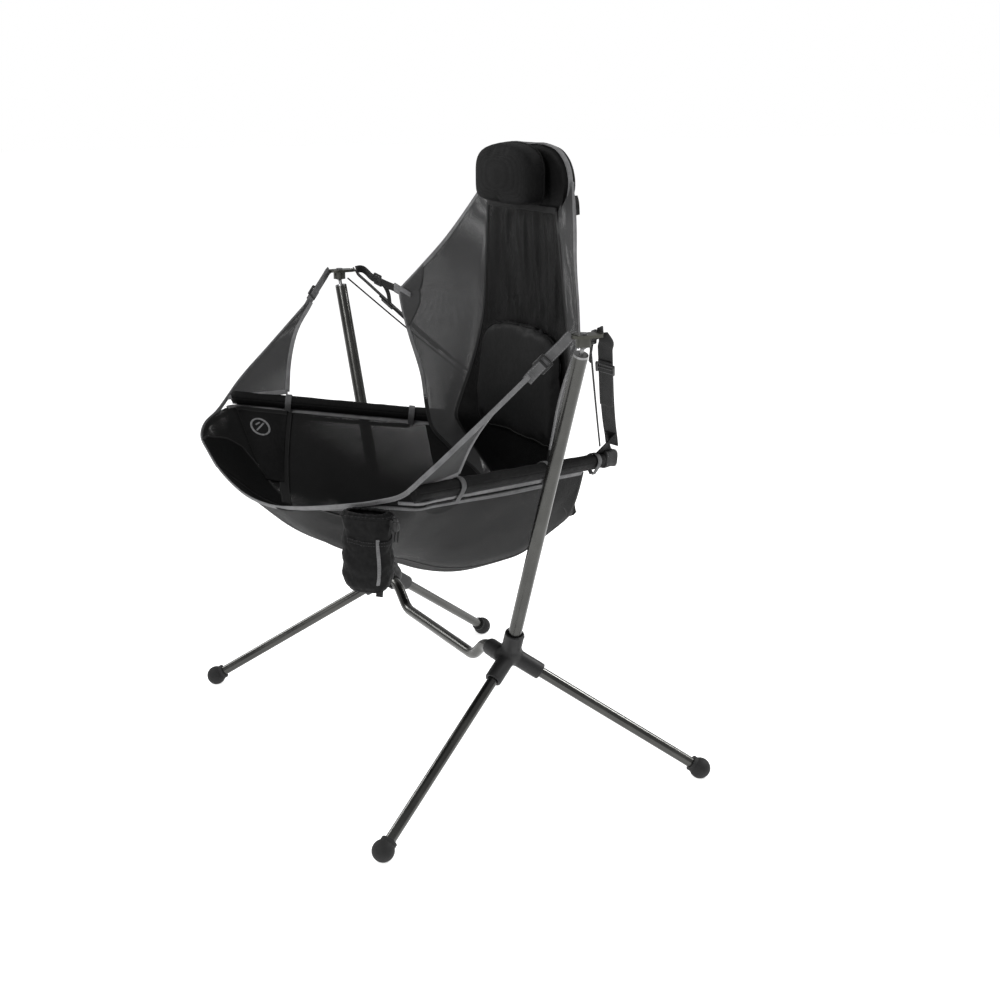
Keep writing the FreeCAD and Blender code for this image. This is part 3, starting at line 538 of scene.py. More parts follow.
class Finish:
    """A procedural material built from a few named layers."""

    def __init__(self, name, roughness, specular, metallic=0.0, sheen=0.0):
        self.material = bpy.data.materials.new(name)
        self.material.use_nodes = True
        self.tree = self.material.node_tree
        self.shader = self.tree.nodes["Principled BSDF"]
        for socket, value in (
            ("Roughness", roughness),
            ("Metallic", metallic),
            ("Sheen Weight", sheen),
            ("Specular IOR Level", specular),
        ):
            self.shader.inputs[socket].default_value = value
        self.shader.inputs["Sheen Roughness"].default_value = 0.45
        self.relief = None

    def join(self, source, target):
        self.tree.links.new(source, target)

    def coords(self, source="Object"):
        return self.tree.nodes.new("ShaderNodeTexCoord").outputs[source]

    def cloud(self, coords, scale, detail, rough=0.55):
        node = self.tree.nodes.new("ShaderNodeTexNoise")
        node.inputs["Scale"].default_value = scale
        node.inputs["Detail"].default_value = detail
        node.inputs["Roughness"].default_value = rough
        self.join(coords, node.inputs["Vector"])
        return node.outputs["Fac"]

    def bands(self, coords, pitch, direction):
        """Stripes with a real pitch in metres."""
        node = self.tree.nodes.new("ShaderNodeTexWave")
        node.bands_direction = direction
        node.inputs["Scale"].default_value = WAVE_SCALE / pitch
        self.join(coords, node.inputs["Vector"])
        return node.outputs["Fac"]

    def calculate(self, operation, a, b):
        node = self.tree.nodes.new("ShaderNodeMath")
        node.operation = operation
        for socket, value in zip(node.inputs, (a, b)):
            if isinstance(value, (int, float)):
                socket.default_value = value
            else:
                self.join(value, socket)
        return node.outputs[0]

    def graded(self, value, low, high, out_low=0.0, out_high=1.0):
        node = self.tree.nodes.new("ShaderNodeMapRange")
        for socket, number in zip(
            ("From Min", "From Max", "To Min", "To Max"), (low, high, out_low, out_high)
        ):
            node.inputs[socket].default_value = number
        self.join(value, node.inputs["Value"])
        return node.outputs["Result"]

    def blend_colours(self, share, first, second):
        node = self.tree.nodes.new("ShaderNodeMix")
        node.data_type = "RGBA"
        self.join(share, node.inputs["Factor"])
        for socket, colour in zip((node.inputs[6], node.inputs[7]), (first, second)):
            if isinstance(colour, tuple):
                socket.default_value = (*colour, 1.0)
            else:
                self.join(colour, socket)
        return node.outputs[2]

    def colour(self, value):
        self.join(value, self.shader.inputs["Base Color"])

    def roughness(self, value):
        self.join(value, self.shader.inputs["Roughness"])

    def bump(self, height, distance, strength=1.0):
        node = self.tree.nodes.new("ShaderNodeBump")
        node.inputs["Distance"].default_value = distance
        node.inputs["Strength"].default_value = strength
        self.join(height, node.inputs["Height"])
        if self.relief:
            self.join(self.relief, node.inputs["Normal"])
        self.relief = node.outputs["Normal"]
        self.join(self.relief, self.shader.inputs["Normal"])


COOL = (1, 1, 1.02)


def shade(level, tint=COOL):
    return tuple(level * t for t in tint)


def woven(name, level, pitch=0.0014, roughness=0.72, sheen=0.0, crinkle=0.0, specular=0.08,
          source="UV"):
    """Plain woven cloth: crossed threads, slubs and faint fading."""
    f = Finish(name, roughness, sheen=sheen, specular=specular)
    coords = f.coords(source)
    warp = f.bands(coords, pitch, "X")
    weft = f.bands(coords, pitch, "Y")
    if source == "UV":
        threads = f.calculate("MULTIPLY", f.calculate("SUBTRACT", warp, 0.5),
                              f.calculate("SUBTRACT", weft, 0.5))
        threads = f.graded(threads, -0.25, 0.25)
    else:
        threads = f.calculate("MAXIMUM", warp, weft)
    body = f.coords()
    fading = f.cloud(body, 9, 4)
    slubs = f.cloud(body, 160, 2)
    tone = f.blend_colours(fading, shade(level * 0.78), shade(level * 1.25))
    light = f.blend_colours(f.graded(slubs, 0.35, 0.65), tone, shade(level * 1.5))
    f.colour(f.blend_colours(f.graded(threads, 0, 1, 0.0, 0.4), light, shade(level * 0.45)))
    f.roughness(f.graded(fading, 0.3, 0.7, roughness - 0.07, min(roughness + 0.1, 1)))
    if crinkle:
        f.bump(f.cloud(body, 34, 5, 0.6), crinkle)
    f.bump(threads, 0.0003, 0.6)
    return f.material


NETTING_PITCH = 0.0017


def netting(name, level, open_share=0.2):
    """Warp-knit mesh: rows of small holes between thicker yarns, with painted shade darkening the
    yarn towards each hole.
    """
    tint = (1, 1, 1.015)
    f = Finish(name, 0.62, sheen=0.01, specular=0.1)
    coords = f.coords("UV")
    warp = f.bands(coords, NETTING_PITCH, "X")
    weft = f.bands(coords, NETTING_PITCH, "Y")
    holes = f.calculate("MULTIPLY", warp, weft)
    body = f.coords()
    fading = f.cloud(body, 7, 4)
    tone = f.blend_colours(fading, shade(level * 0.82, tint), shade(level * 1.2, tint))
    # painted shade: the yarn darkens towards each hole, where the bump is lowest
    yarn_and_hole_shade = f.blend_colours(f.graded(holes, 0.1, 0.7, 0.0, 0.5), tone, shade(level * 0.5, tint))
    f.colour(yarn_and_hole_shade)
    low = 0.72 - open_share
    f.join(f.graded(holes, low, low + 0.1, 1.0, 0.3), f.shader.inputs["Alpha"])
    f.bump(f.cloud(body, 26, 4), 0.0012, 0.5)
    f.bump(f.calculate("SUBTRACT", 1.0, holes), 0.0003, 0.5)
    return f.material


def webbing_finish(name, level):
    """Ribbed webbing: ribs across it and fine ridges along it, with painted shade in the grooves
    between the ribs.
    """
    f = Finish(name, 0.66, sheen=0.03, specular=0.2)
    coords = f.coords("UV")
    ribs = f.bands(coords, 0.0019, "Y")
    ridges = f.bands(coords, 0.0024, "X")
    body = f.coords()
    wear = f.cloud(body, 45, 5, 0.65)
    tone = f.blend_colours(f.graded(wear, 0.4, 0.68), shade(level * 0.85), shade(level * 1.3))
    # painted shade: the grooves between the ribs, where the bump is lowest, are darker
    f.colour(f.blend_colours(f.graded(ribs, 0, 1, 0.45, 0.0), tone, shade(level * 0.4)))
    f.bump(ridges, 0.00025, 0.5)
    f.bump(ribs, 0.00035, 0.8)
    return f.material


def metal(name, level, roughness, tint=(1, 1, 1.01), grain=0.00004):
    """Drawn and anodised metal: fine grain, smudges and a little dust."""
    f = Finish(name, roughness, metallic=0.92, specular=0.5)
    body = f.coords()
    patches = f.cloud(body, 14, 5, 0.6)
    specks = f.cloud(body, 900, 2)
    tone = f.blend_colours(f.graded(patches, 0.3, 0.7), shade(level * 0.82, tint),
                           shade(level * 1.18, tint))
    f.colour(f.blend_colours(f.graded(specks, 0.62, 0.8, 0, 0.2), tone, shade(level * 1.3, tint)))
    f.roughness(f.graded(patches, 0.3, 0.7, roughness - 0.09, roughness + 0.09))
    f.bump(specks, grain, 0.5)
    return f.material


def moulded(name, level, roughness=0.52, depth=0.00012):
    """Moulded plastic or rubber with a fine spark texture and a lighter colour on its sharpest
    edges.
    """
    f = Finish(name, roughness, specular=0.32)
    body = f.coords()
    patches = f.cloud(body, 22, 5, 0.6)
    grit = f.cloud(body, 520, 3)
    geometry = f.tree.nodes.new("ShaderNodeNewGeometry")
    edges = f.graded(geometry.outputs["Pointiness"], 0.52, 0.6)
    tone = f.blend_colours(patches, shade(level * 0.8), shade(level * 1.25))
    f.colour(f.blend_colours(f.calculate("MULTIPLY", edges, 0.6), tone, shade(level * 2.4)))
    f.roughness(f.graded(patches, 0.3, 0.7, roughness - 0.08, roughness + 0.12))
    f.bump(grit, depth, 0.7)
    return f.material


FINISHES = {}


def finish(name):
    return FINISHES[name]


# ---- joining pieces to the frame


def standing_for(replaced):
    """Hides the nodes that a piece replaces."""
    if replaced:
        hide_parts(*replaced)


def riding(obj, body, replaced=()):
    """A piece that moves with one body."""
    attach(obj, body)
    standing_for(replaced)


def bending(obj, replaced=()):
    """A piece from the seat to the back, with its transform baked into its mesh and no body to move
    with.
    """
    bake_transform(obj)
    standing_for(replaced)


def dress_nodes(names, material_name):
    for node in names:
        mesh = frame["nodes"][node].data
        mesh.materials.clear()
        mesh.materials.append(finish(material_name))


def soften(node, width):
    bevel = frame["nodes"][node].modifiers.new("Rounding", "BEVEL")
    bevel.width = width
    bevel.segments = 3
    bevel.limit_method = "ANGLE"
    bevel.angle_limit = math.radians(40)


# ---- settings that a user would change


class RECLINER_PG_cloth(bpy.types.PropertyGroup):
    """Sizes of the cloth and its edges."""

    cloth_thickness: bpy.props.FloatProperty(
        name="Cloth thickness", description="Thickness of the woven cloth and the mesh",
        default=0.0012, min=0.0005, max=0.004, unit="LENGTH")
    binding_width: bpy.props.FloatProperty(
        name="Binding width", description="Width of the tape folded over the edges",
        default=0.0085, min=0.005, max=0.02, unit="LENGTH")
    binding_thickness: bpy.props.FloatProperty(
        name="Binding thickness", description="Thickness of a folded edge",
        default=0.003, min=0.001, max=0.006, unit="LENGTH")
    webbing_thickness: bpy.props.FloatProperty(
        name="Webbing thickness", description="Thickness of the straps",
        default=0.0024, min=0.001, max=0.004, unit="LENGTH")
    back_folds: bpy.props.FloatProperty(
        name="Back folds", description="Height of the folds in the upper back",
        default=0.0075, min=0.0, max=0.012, unit="LENGTH")
    pillow_fill: bpy.props.FloatProperty(
        name="Pillow fill", description="From slack to tight",
        default=0.7, min=0.0, max=1.0, subtype="FACTOR")


class RECLINER_PG_shades(bpy.types.PropertyGroup):
    """How light each finish is, from black to white."""

    mesh: bpy.props.FloatProperty(
        name="Mesh", description="Grey of the mesh panels",
        default=0.05, min=0, max=1, subtype="FACTOR")
    side_mesh: bpy.props.FloatProperty(
        name="Side mesh", description="Grey of the closer mesh beside the seat",
        default=0.012, min=0, max=1, subtype="FACTOR")
    black: bpy.props.FloatProperty(
        name="Black cloth", description="Grey of the seat base and the back",
        default=0.0048, min=0, max=1, subtype="FACTOR")
    binding: bpy.props.FloatProperty(
        name="Binding", description="Grey of the edge tape",
        default=0.16, min=0, max=1, subtype="FACTOR")
    tube: bpy.props.FloatProperty(
        name="Tubes", description="Grey of the anodised tubes",
        default=0.07, min=0, max=1, subtype="FACTOR")
    plastic: bpy.props.FloatProperty(
        name="Plastic", description="Grey of the hubs",
        default=0.014, min=0, max=1, subtype="FACTOR")


def cloth_sizes():
    return bpy.context.scene.recliner_cloth


def make_finishes(shades):
    FINISHES.update(
        mesh=netting("Mesh", shades.mesh),
        side_mesh=netting("Side mesh", shades.side_mesh, open_share=0.08),
        black=woven("Black cloth", shades.black, crinkle=0.0008, roughness=0.62),
        satin=woven("Back cloth", shades.black * 0.8, pitch=0.0011, roughness=0.32,
                    crinkle=0.0007, specular=0.06),
        pad=woven("Lumbar cloth", shades.black * 1.5, roughness=0.55, crinkle=0.0008),
        pillow=woven("Pillow cloth", shades.black * 1.3, pitch=0.0016, roughness=0.8,
                     sheen=0.02, source="Object"),
        pocket=woven("Pocket cloth", shades.black * 1.5, roughness=0.6, crinkle=0.001),
        sleeve=woven("Sleeve cloth", shades.black * 1.2, roughness=0.65, crinkle=0.0008),
        binding=webbing_finish("Edge tape", shades.binding),
        grey_webbing=webbing_finish("Grey webbing", shades.binding * 0.6),
        black_webbing=webbing_finish("Black webbing", shades.black * 1.6),
        thread=woven("Thread", 0.2, pitch=0.0006, source="Object"),
        dark_thread=woven("Dark thread", 0.05, pitch=0.0006, source="Object"),
        cord=webbing_finish("Cord", shades.black * 2),
        mark=woven("Printed ring", 0.17, pitch=0.001),
        tube=metal("Anodised tube", shades.tube, 0.26, tint=(1.0, 1.0, 0.95), grain=0.000006),
        bar=metal("Side bar tube", shades.tube * 0.6, 0.35),
        corner=webbing_finish("Corner webbing", shades.black * 5),
        steel=metal("Bright steel", 0.2, 0.28),
        plate=metal("Hanging plate", 0.075, 0.36, tint=(1.0, 1.0, 0.86)),
        cup=metal("Ball cup", 0.07, 0.34, tint=(1.0, 1.0, 0.9)),
        screw=metal("Screw", 0.25, 0.3),
        hub=moulded("Hub plastic", shades.plastic),
        rubber=moulded("Foot rubber", shades.plastic * 0.8, roughness=0.7, depth=0.0002),
        buckle=moulded("Buckle plastic", shades.plastic * 0.9, roughness=0.36),
        lock=moulded("Lock plastic", shades.plastic, roughness=0.4),
    )


# ---- the seat's shell


def binding(name, path, facing, thread="thread", width=None, tape_finish="binding", count=None):
    sizes = cloth_sizes()
    run = lengths(path)[-1]
    count = count or max(12, int(run / 0.006))
    points = line(path, count)
    if np.ndim(facing) == 2:
        facing = unit(line(path, count, values=facing))
    return tape(name, points, facing, width or sizes.binding_width,
                sizes.binding_thickness, finish(tape_finish), finish(thread))


def dark_seam(name, path, facing, width=0.009, count=None):
    """A seam covered in black tape and dark thread."""
    return binding(name, path, facing, "dark_thread", width, "black_webbing", count)


def dark_tape(name, path, facing, width, thickness):
    return tape(name, path, facing, width, thickness, finish("black_webbing"),
                finish("dark_thread"))


def turned_to(grid, point, way):
    """Normals of a grid, all on the side where x at a point of it has the sign of way."""
    normals = grid_normals(grid)
    return normals if normals[point][0] * way > 0 else -normals


def seat_section(middle, edge, reach):
    return [at(BASE_HALF * s, reach, middle + (edge - middle) * s * s)
            for s in (-1, -0.75, -0.5, -0.25, 0, 0.25, 0.5, 0.75, 1)]


SHELL_TOP = [
    (-408, (290, -394, 590)),
    (-385, (325, -381, 599)),
    (-360, (356, -365, 607)),
    (-330, (400, -325, 617)),
    (-300, (425, -298, 619)),
    (-270, (440, -268, 617)),
]


def shell_section(reach):
    """The left side panel from the seat base's edge out to its top edge."""
    reaches = [r for r, _, _ in SEAT_LINE]
    low = np.array([BASE_HALF, reach, float(hermite(reaches, [[e] for _, _, e in SEAT_LINE],
                                                    np.array([float(reach)]))[0, 0])])
    if reach <= SHELL_TOP[-1][0]:
        high = np.array([hermite([r for r, _ in SHELL_TOP], [p for _, p in SHELL_TOP],
                                 np.array([float(reach)]))[0]][0])
    else:
        high = np.array(bar_at(reach)) - (0, 0, SLEEVE_RADIUS + 6)
    rows = []
    for s in (0, 0.2, 0.4, 0.6, 0.8, 1):
        p = low + (high - low) * s
        p[2] = low[2] + (high[2] - low[2]) * (0.44 * s + 0.56 * s * s)
        rows.append(p)
    return rows


# rows of a side panel's grid where the gusset ends and where its black rear starts,
# the band along its inside, and its black front corner's top as (row, column) pairs
GUSSET_ROW = 22
REAR_ROW = 84
BAND_ROWS, BAND_COLUMN = slice(4, 80), -3
APRON_END = 27.5
APRON_TOP = [(0, 41), (8, 35), (16, 31), (22, 27), (25, 20), (APRON_END, 5)]


def on_grid(grid, row, column):
    """A point between the points of a grid."""
    i, j = min(int(row), grid.shape[0] - 2), min(int(column), grid.shape[1] - 2)
    a, b = row - i, column - j
    near = grid[i, j] * (1 - b) + grid[i, j + 1] * b
    far = grid[i + 1, j] * (1 - b) + grid[i + 1, j + 1] * b
    return near * (1 - a) + far * a


def side_panel_grid(side):
    rows = []
    for reach in (-408, -385, -360, -330, -300, -270, -222, -175, -94, -31, 30, 78, 130, 178):
        rows.append(ats(mirrored(shell_section(reach), side)))
    grid = net(rows, 44, 100)
    return rumple(grid, 0.0032, (8, 5, 7), seed=3.1 * side)


FRONT_EDGE = [
    (485, -86, 818, (0.9, -0.42, 0.1)),
    (470, -178, 737, (0.9, -0.42, 0.1)),
    (452, -266, 660, (0.9, -0.42, 0.0)),
    (441, -290, 637, (0.86, -0.48, -0.1)),
    (402, -326, 618, (0.72, -0.6, -0.35)),
    (357, -366, 606, (0.55, -0.7, -0.45)),
    (293, -395, 591, (0.4, -0.75, -0.52)),
    (233, -402, 577, (0.25, -0.78, -0.58)),
    (157, -407, 561, (0.12, -0.76, -0.64)),
    (80, -409, 551, (0.05, -0.74, -0.67)),
]


class RECLINER_OT_seat_shell(bpy.types.Operator):
    """Seat base, side panels, their seams and the binding round the front"""

    bl_idname = "recliner.seat_shell"
    bl_label = "Seat shell"

    def execute(self, context):
        sizes = cloth_sizes()
        grid = net([seat_section(m, e, r) for r, m, e in SEAT_LINE], 49, 96)
        grid = rumple(grid, 0.0034, (9, 4, 3), seed=1.7)
        base = cloth("seat_base_cloth", grid, finish("black"), sizes.cloth_thickness)
        riding(base, "seat", ["seat_base"])
        declare(grid)
        for name, side in SIDES:
            panel_grid = side_panel_grid(side)
            mesh_part = panel_grid[:REAR_ROW + 2]
            panel = cloth(f"side_panel_cloth_{name}", mesh_part, finish("side_mesh"),
                          sizes.cloth_thickness)
            riding(panel, "seat", [f"side_panel_{name}"])
            declare(mesh_part)
            normals = grid_normals(panel_grid) * side
            top = binding(f"side_panel_binding_{name}", panel_grid[GUSSET_ROW:, -1],
                          normals[GUSSET_ROW:, -1], count=90)
            riding(top, "seat")
            inner = -normals[BAND_ROWS, BAND_COLUMN]
            band = binding(f"side_panel_band_{name}",
                           panel_grid[BAND_ROWS, BAND_COLUMN] + inner * 0.0028, inner,
                           tape_finish="grey_webbing", count=100)
            riding(band, "seat")
            rear = dark_seam(f"side_panel_rear_seam_{name}", panel_grid[-1], normals[-1])
            riding(rear, "seat")
            low = dark_seam(f"seat_base_seam_{name}", panel_grid[:, 0], normals[:, 0], count=110)
            riding(low, "seat")
            self.black_parts(name, side, panel_grid)
        front = [(x, y, z) for x, y, z, _ in FRONT_EDGE]
        facing = [f for *_, f in FRONT_EDGE]
        path = ats(front) + [at(0, -410, 547)] + ats(mirrored(front[::-1], -1))
        facings = facing + [(0, -0.73, -0.68)] + [(-x, y, z) for x, y, z in facing[::-1]]
        edge = binding("front_binding", path, facings, count=330)
        riding(edge, "seat")
        return {"FINISHED"}

    def black_parts(self, name, side, panel_grid):
        """The black cloth at a side panel's rear and over its low front corner."""
        rear_grid = panel_grid[REAR_ROW:]
        rear = cloth(f"seat_rear_side_{name}", rear_grid, finish("black"), 0.0022)
        riding(rear, "seat")
        declare(rear_grid)
        rows = []
        for share in np.linspace(0, 1, 40):
            row = APRON_END * share
            top = float(np.interp(row, *zip(*APRON_TOP)))
            rows.append([on_grid(panel_grid, row, top * s) for s in np.linspace(0, 1, 40)])
        apron_grid = np.array(rows)
        apron = cloth(f"front_apron_{name}", apron_grid, finish("black"), 0.0042)
        riding(apron, "seat")
        declare(apron_grid)
        normals = grid_normals(apron_grid) * side
        seam = dark_tape(f"front_apron_seam_{name}", apron_grid[:, -1], normals[:, -1],
                         0.006, 0.005)
        riding(seam, "seat")


# ---- front gussets


def gusset_grid(side):
    front = line([(x, y, z) for x, y, z, _ in FRONT_EDGE[:4]], 40)
    rear = line([(482, -79, 818), (452, -128, 762), (420, -158, 700), (397, -172, 646)], 40)
    rows = [ats(mirrored([f, (f + r) / 2 + (1.5, -1, 0), r], side)) for f, r in zip(front, rear)]
    return net([rows[i] for i in range(0, 40, 3)], 24, 60)


class RECLINER_OT_front_gussets(bpy.types.Operator):
    """The mesh triangles between the hanging straps and the side bars"""

    bl_idname = "recliner.front_gussets"
    bl_label = "Front gussets"

    def execute(self, context):
        sizes = cloth_sizes()
        for name, side in SIDES:
            grid = rumple(gusset_grid(side), 0.002, (10, 10, 8), seed=7.0)
            gusset = cloth(f"gusset_cloth_{name}", grid, finish("mesh"), sizes.cloth_thickness)
            riding(gusset, "seat", [f"front_gusset_{name}"])
            declare(grid)
            normals = grid_normals(grid) * side
            rear = binding(f"gusset_rear_binding_{name}", grid[:, -1], normals[:, -1])
            riding(rear, "seat")
            low = binding(f"gusset_low_binding_{name}", grid[-1], normals[-1], width=0.01)
            riding(low, "seat")
        return {"FINISHED"}


# ---- side bars


# distances behind the hubs' plane of a sleeve's ends, of the rear corner's ends and of
# the webbing loops that tie the panel's edge to the bar
SLEEVE_REACHES = (-283, 236)
CORNER_REACHES = (240, 280)
LOOP_REACHES = (-172, 62, 214)


class RECLINER_OT_side_bars(bpy.types.Operator):
    """Fabric sleeves, stitched corners and webbing loops on the side bars"""

    bl_idname = "recliner.side_bars"
    bl_label = "Side bars"

    def execute(self, context):
        for name, side in SIDES:
            dress_nodes([f"side_bar_{name}"], "bar")
            along = self.sleeve(name, side)
            self.rear_corner(name, side)
            for i, reach in enumerate(LOOP_REACHES):
                tie = loop(f"bar_loop_{name}_{i + 1}", ats(mirrored([bar_at(reach)], side))[0],
                           along, 0.0148, 0.026, 0.013, finish("grey_webbing"))
                riding(tie, "seat")
        dress_nodes(["bar_end_caps"], "buckle")
        soften("bar_end_caps", 0.0012)
        return {"FINISHED"}

    def sleeve(self, name, side):
        """The cloth round a bar and the seam of its flap; returns the bar's direction."""
        start, end = (np.array(bar_at(reach)) for reach in SLEEVE_REACHES)
        path = np.array([at(side * p[0], p[1], p[2]) for p in
                         (start + (end - start) * s for s in np.linspace(0, 1, 96))])
        _, across, up = frames_along(path, (0, 0, 1))
        around = 28
        rows = []
        for i, p in enumerate(path):
            # the first two rows close the front end
            closing = math.sqrt(max(0.0, 1 - ((2 - i) / 2) ** 2)) if i < 2 else 1.0
            ring = []
            for j in range(around):
                c, s = turned(j, around)
                spot = across[i] * c + up[i] * s
                seat = Vector((i * 0.13, c * 1.3, s * 1.3 + side))
                fold = 0.0011 * noise.noise(seat) + 0.0006 * noise.noise(seat * 3)
                # the flap's seam hangs below the tube
                drop = 0.0022 * max(0.0, -s) ** 6
                ring.append(p + spot * (0.0122 + fold + drop) * closing)
            rows.append(ring + ring[:1])
        grid = np.array(rows)
        sleeve = cloth(f"bar_sleeve_cloth_{name}", grid, finish("sleeve"), 0.0011)
        riding(sleeve, "seat", [f"bar_sleeve_{name}"])
        declare(grid)
        seam_path = path[1:-1] - up[1:-1] * 0.0135 + across[1:-1] * side * 0.003
        seam = dark_tape(f"bar_sleeve_seam_{name}", seam_path, across[1:-1], 0.005, 0.0022)
        riding(seam, "seat")
        return unit(path[-1] - path[0])

    def rear_corner(self, name, side):
        """The stitched pocket over a bar's rear end."""
        back, tip = (np.array(bar_at(reach)) for reach in CORNER_REACHES)
        rows, around = 24, 24
        path = line(ats(mirrored([tuple(back + (tip - back) * s) for s in (0, 0.4, 0.8, 1)], side)),
                    rows)
        _, side_way, up_way = frames_along(path, (0, 0, 1))
        shape = Shape()
        ring = np.array(oval(0.0125, 0.0165, around, 0.62))
        points = []
        for i in range(rows):
            share = i / (rows - 1)
            swell = 1 - 0.75 * max(0, share - 0.9) / 0.1 + 0.03 * math.sin(9 * share)
            points.append([path[i] + side_way[i] * x * swell + up_way[i] * y * swell
                           for x, y in ring])
        uvs = np.stack(np.meshgrid(np.arange(around) * 0.004, lengths(path)), axis=-1)
        shape.add(points, tube_faces(rows, around), uvs)
        for row in (2, 21):
            run = np.array([path[row] + side_way[row] * x + up_way[row] * y
                            for x, y in oval(0.0131, 0.0171, around, 0.62)])
            out = unit(run - path[row])
            sew(shape, run, np.cross(out, unit(np.gradient(run, axis=0))), out, 0, 0.0)
        corner = shape.build(f"bar_corner_cloth_{name}", finish("corner"), finish("thread"))
        riding(corner, "seat", [f"bar_corner_{name}"])


# ---- back


# height, half-width, distance behind the hubs' plane in the middle and at the edge
BACK_ROWS = [
    (471, 166, 200, 199),
    (515, 190, 196, 176),
    (560, 202, 190, 150),
    (600, 203, 186, 130),
    (640, 203, 185, 141),
    (690, 198, 184, 158),
    (760, 183, 183, 172),
    (822, 168, 182, 177),
    (880, 158, 181, 176),
    (938, 150, 180, 174),
    (1000, 141, 178, 172),
    (1046, 134, 177, 170),
]


BACK_SHARES = (-1, -0.86, -0.68, -0.4, 0, 0.4, 0.68, 0.86, 1)


def back_grid():
    foot = [at(166 * s, 199, 433 + 37 * s * s) for s in BACK_SHARES]
    rows = [[at(half * s, middle + (edge - middle) * abs(s) ** 3, z) for s in BACK_SHARES]
            for z, half, middle, edge in BACK_ROWS]
    return net([foot] + rows, 70, 150)


def creased(grid, folds):
    """Sharp upright folds in the upper back, softer ones over the lumbar pad."""
    normals = grid_normals(grid)
    out = grid.copy()
    rows, columns = grid.shape[:2]
    for i in range(rows):
        for j in range(columns):
            x, _, z = grid[i, j]
            share = abs(j / (columns - 1) * 2 - 1)
            # from the lumbar pad's top to just below the hood
            upper = min(max((z - 0.80) / 0.05, 0), 1) * min(max((1.045 - z) / 0.02, 0), 1)
            drift = 0.35 * noise.noise(Vector((x * 7, z * 5, 2.0)))
            ridge = abs(noise.noise(Vector((x * 21 + drift * 2, z * 3.1, 4.7))))
            fold = (0.34 - ridge) * 1.1 + 0.3 * noise.noise(Vector((x * 50, z * 9, 1.0)))
            soft = noise.noise(Vector((x * 8, z * 6, 9.0))) * 0.35
            amount = (fold * upper + soft * (1 - upper)) * min(1, (1 - share) * 7)
            out[i, j] += normals[i, j] * amount * folds
    return out


# (x, z) in metres from the pad's top middle down its left side
LUMBAR_SIDE = [(0, 0.828), (0.062, 0.825), (0.118, 0.813), (0.152, 0.79), (0.165, 0.758),
               (0.169, 0.7), (0.166, 0.64), (0.155, 0.6), (0.12, 0.588), (0.06, 0.585)]


class RECLINER_OT_back(bpy.types.Operator):
    """The back panel, which runs down into the seat, and the lumbar pad"""

    bl_idname = "recliner.back"
    bl_label = "Back"

    def execute(self, context):
        sizes = cloth_sizes()
        plain = back_grid()
        grid = creased(plain, sizes.back_folds)
        back = cloth("back_cloth", grid, finish("satin"), sizes.cloth_thickness)
        bending(back, ["back_panel", "seat_rear_panel"])
        declare(grid)
        normals = grid_normals(grid)
        # the normals face the sitter
        if normals[75, 35][1] > 0:
            normals = -normals
        for name, side in SIDES:
            column = -1 if side > 0 else 0
            seam = dark_seam(f"back_seam_{name}", grid[:, column], normals[:, column], count=110)
            bending(seam)
        foot = dark_seam("back_foot_seam", grid[0], [(0, 0.7, -0.7)] * grid.shape[1], 0.01)
        riding(foot, "seat")
        edge = dark_seam("back_top_seam", grid[-1], normals[-1], 0.012)
        riding(edge, "back")
        self.lumbar()
        return {"FINISHED"}

    def lumbar(self):
        """A shallow foam pad with an arched top."""
        tree = near_surface([bpy.data.objects["back_cloth"]])

        def face(x, z):
            spot, _, _, _ = tree.ray_cast(Vector((x, -0.2, z)), Vector((0, 1, 0)))
            return spot.y if spot else HUB_PLANE / 1000 + 0.18

        loop_line = LUMBAR_SIDE + [(0, 0.584)] + [(-x, z) for x, z in LUMBAR_SIDE[:0:-1]]
        outline = [tuple(p) for p in line(loop_line + loop_line[:1], 97)[:-1]]
        middle_z = 0.69
        shape = Shape()
        rings = 14
        for bulge, lift in ((0.014, 0), (0.0, 0.002)):
            points = []
            for k in range(rings + 1):
                share = k / rings
                fat = (1 - share**4) ** 0.5
                for x, z in outline:
                    px, pz = x * share, middle_z + (z - middle_z) * share
                    points.append((px, face(px, pz) - 0.006 - bulge * fat + lift, pz))
            faces = grid_faces(rings + 1, len(outline), wrap=True)
            shape.add(points, faces)
        pad = shape.build("lumbar_pad_cloth", finish("pad"))
        weld = pad.modifiers.new("Weld", "WELD")
        weld.merge_threshold = 0.0002
        settle(pad)
        puff(pad, 0.0045, 0.005, pressure=3.0)
        for vertex in pad.data.vertices:
            vertex.co.y = min(vertex.co.y, face(vertex.co.x, vertex.co.z) - 0.0016)
        tree = near_surface([pad])
        seam_path = [(x * 0.985, face(x, z) - 0.02, middle_z + (z - middle_z) * 0.985)
                     for x, z in outline]
        seam_path, _ = laid_on(tree, seam_path + seam_path[:1], 0.0006)
        piping = rope("lumbar_piping", seam_path, 0.0016, finish("black"))
        subdivide(pad)
        bending(pad, ["lumbar_pad"])
        bending(piping)


# ---- wings


# columns of a wing's grid, the row where its front edge leaves the side panel, and the
# row of its corner, where the strap pulls
WING_COLUMNS = 40
WING_FREE_ROW = 39
WING_CORNER_ROW = 77


def on_panel(panel, side, reach, column, inside):
    """A point inside a side panel by a few millimetres, at a distance behind the hubs' plane."""
    row = np.interp((reach + HUB_PLANE) / 1000, panel[:, column, 1], np.arange(len(panel)))
    return on_grid(panel, float(row), column) - (side * inside / 1000, 0, 0)


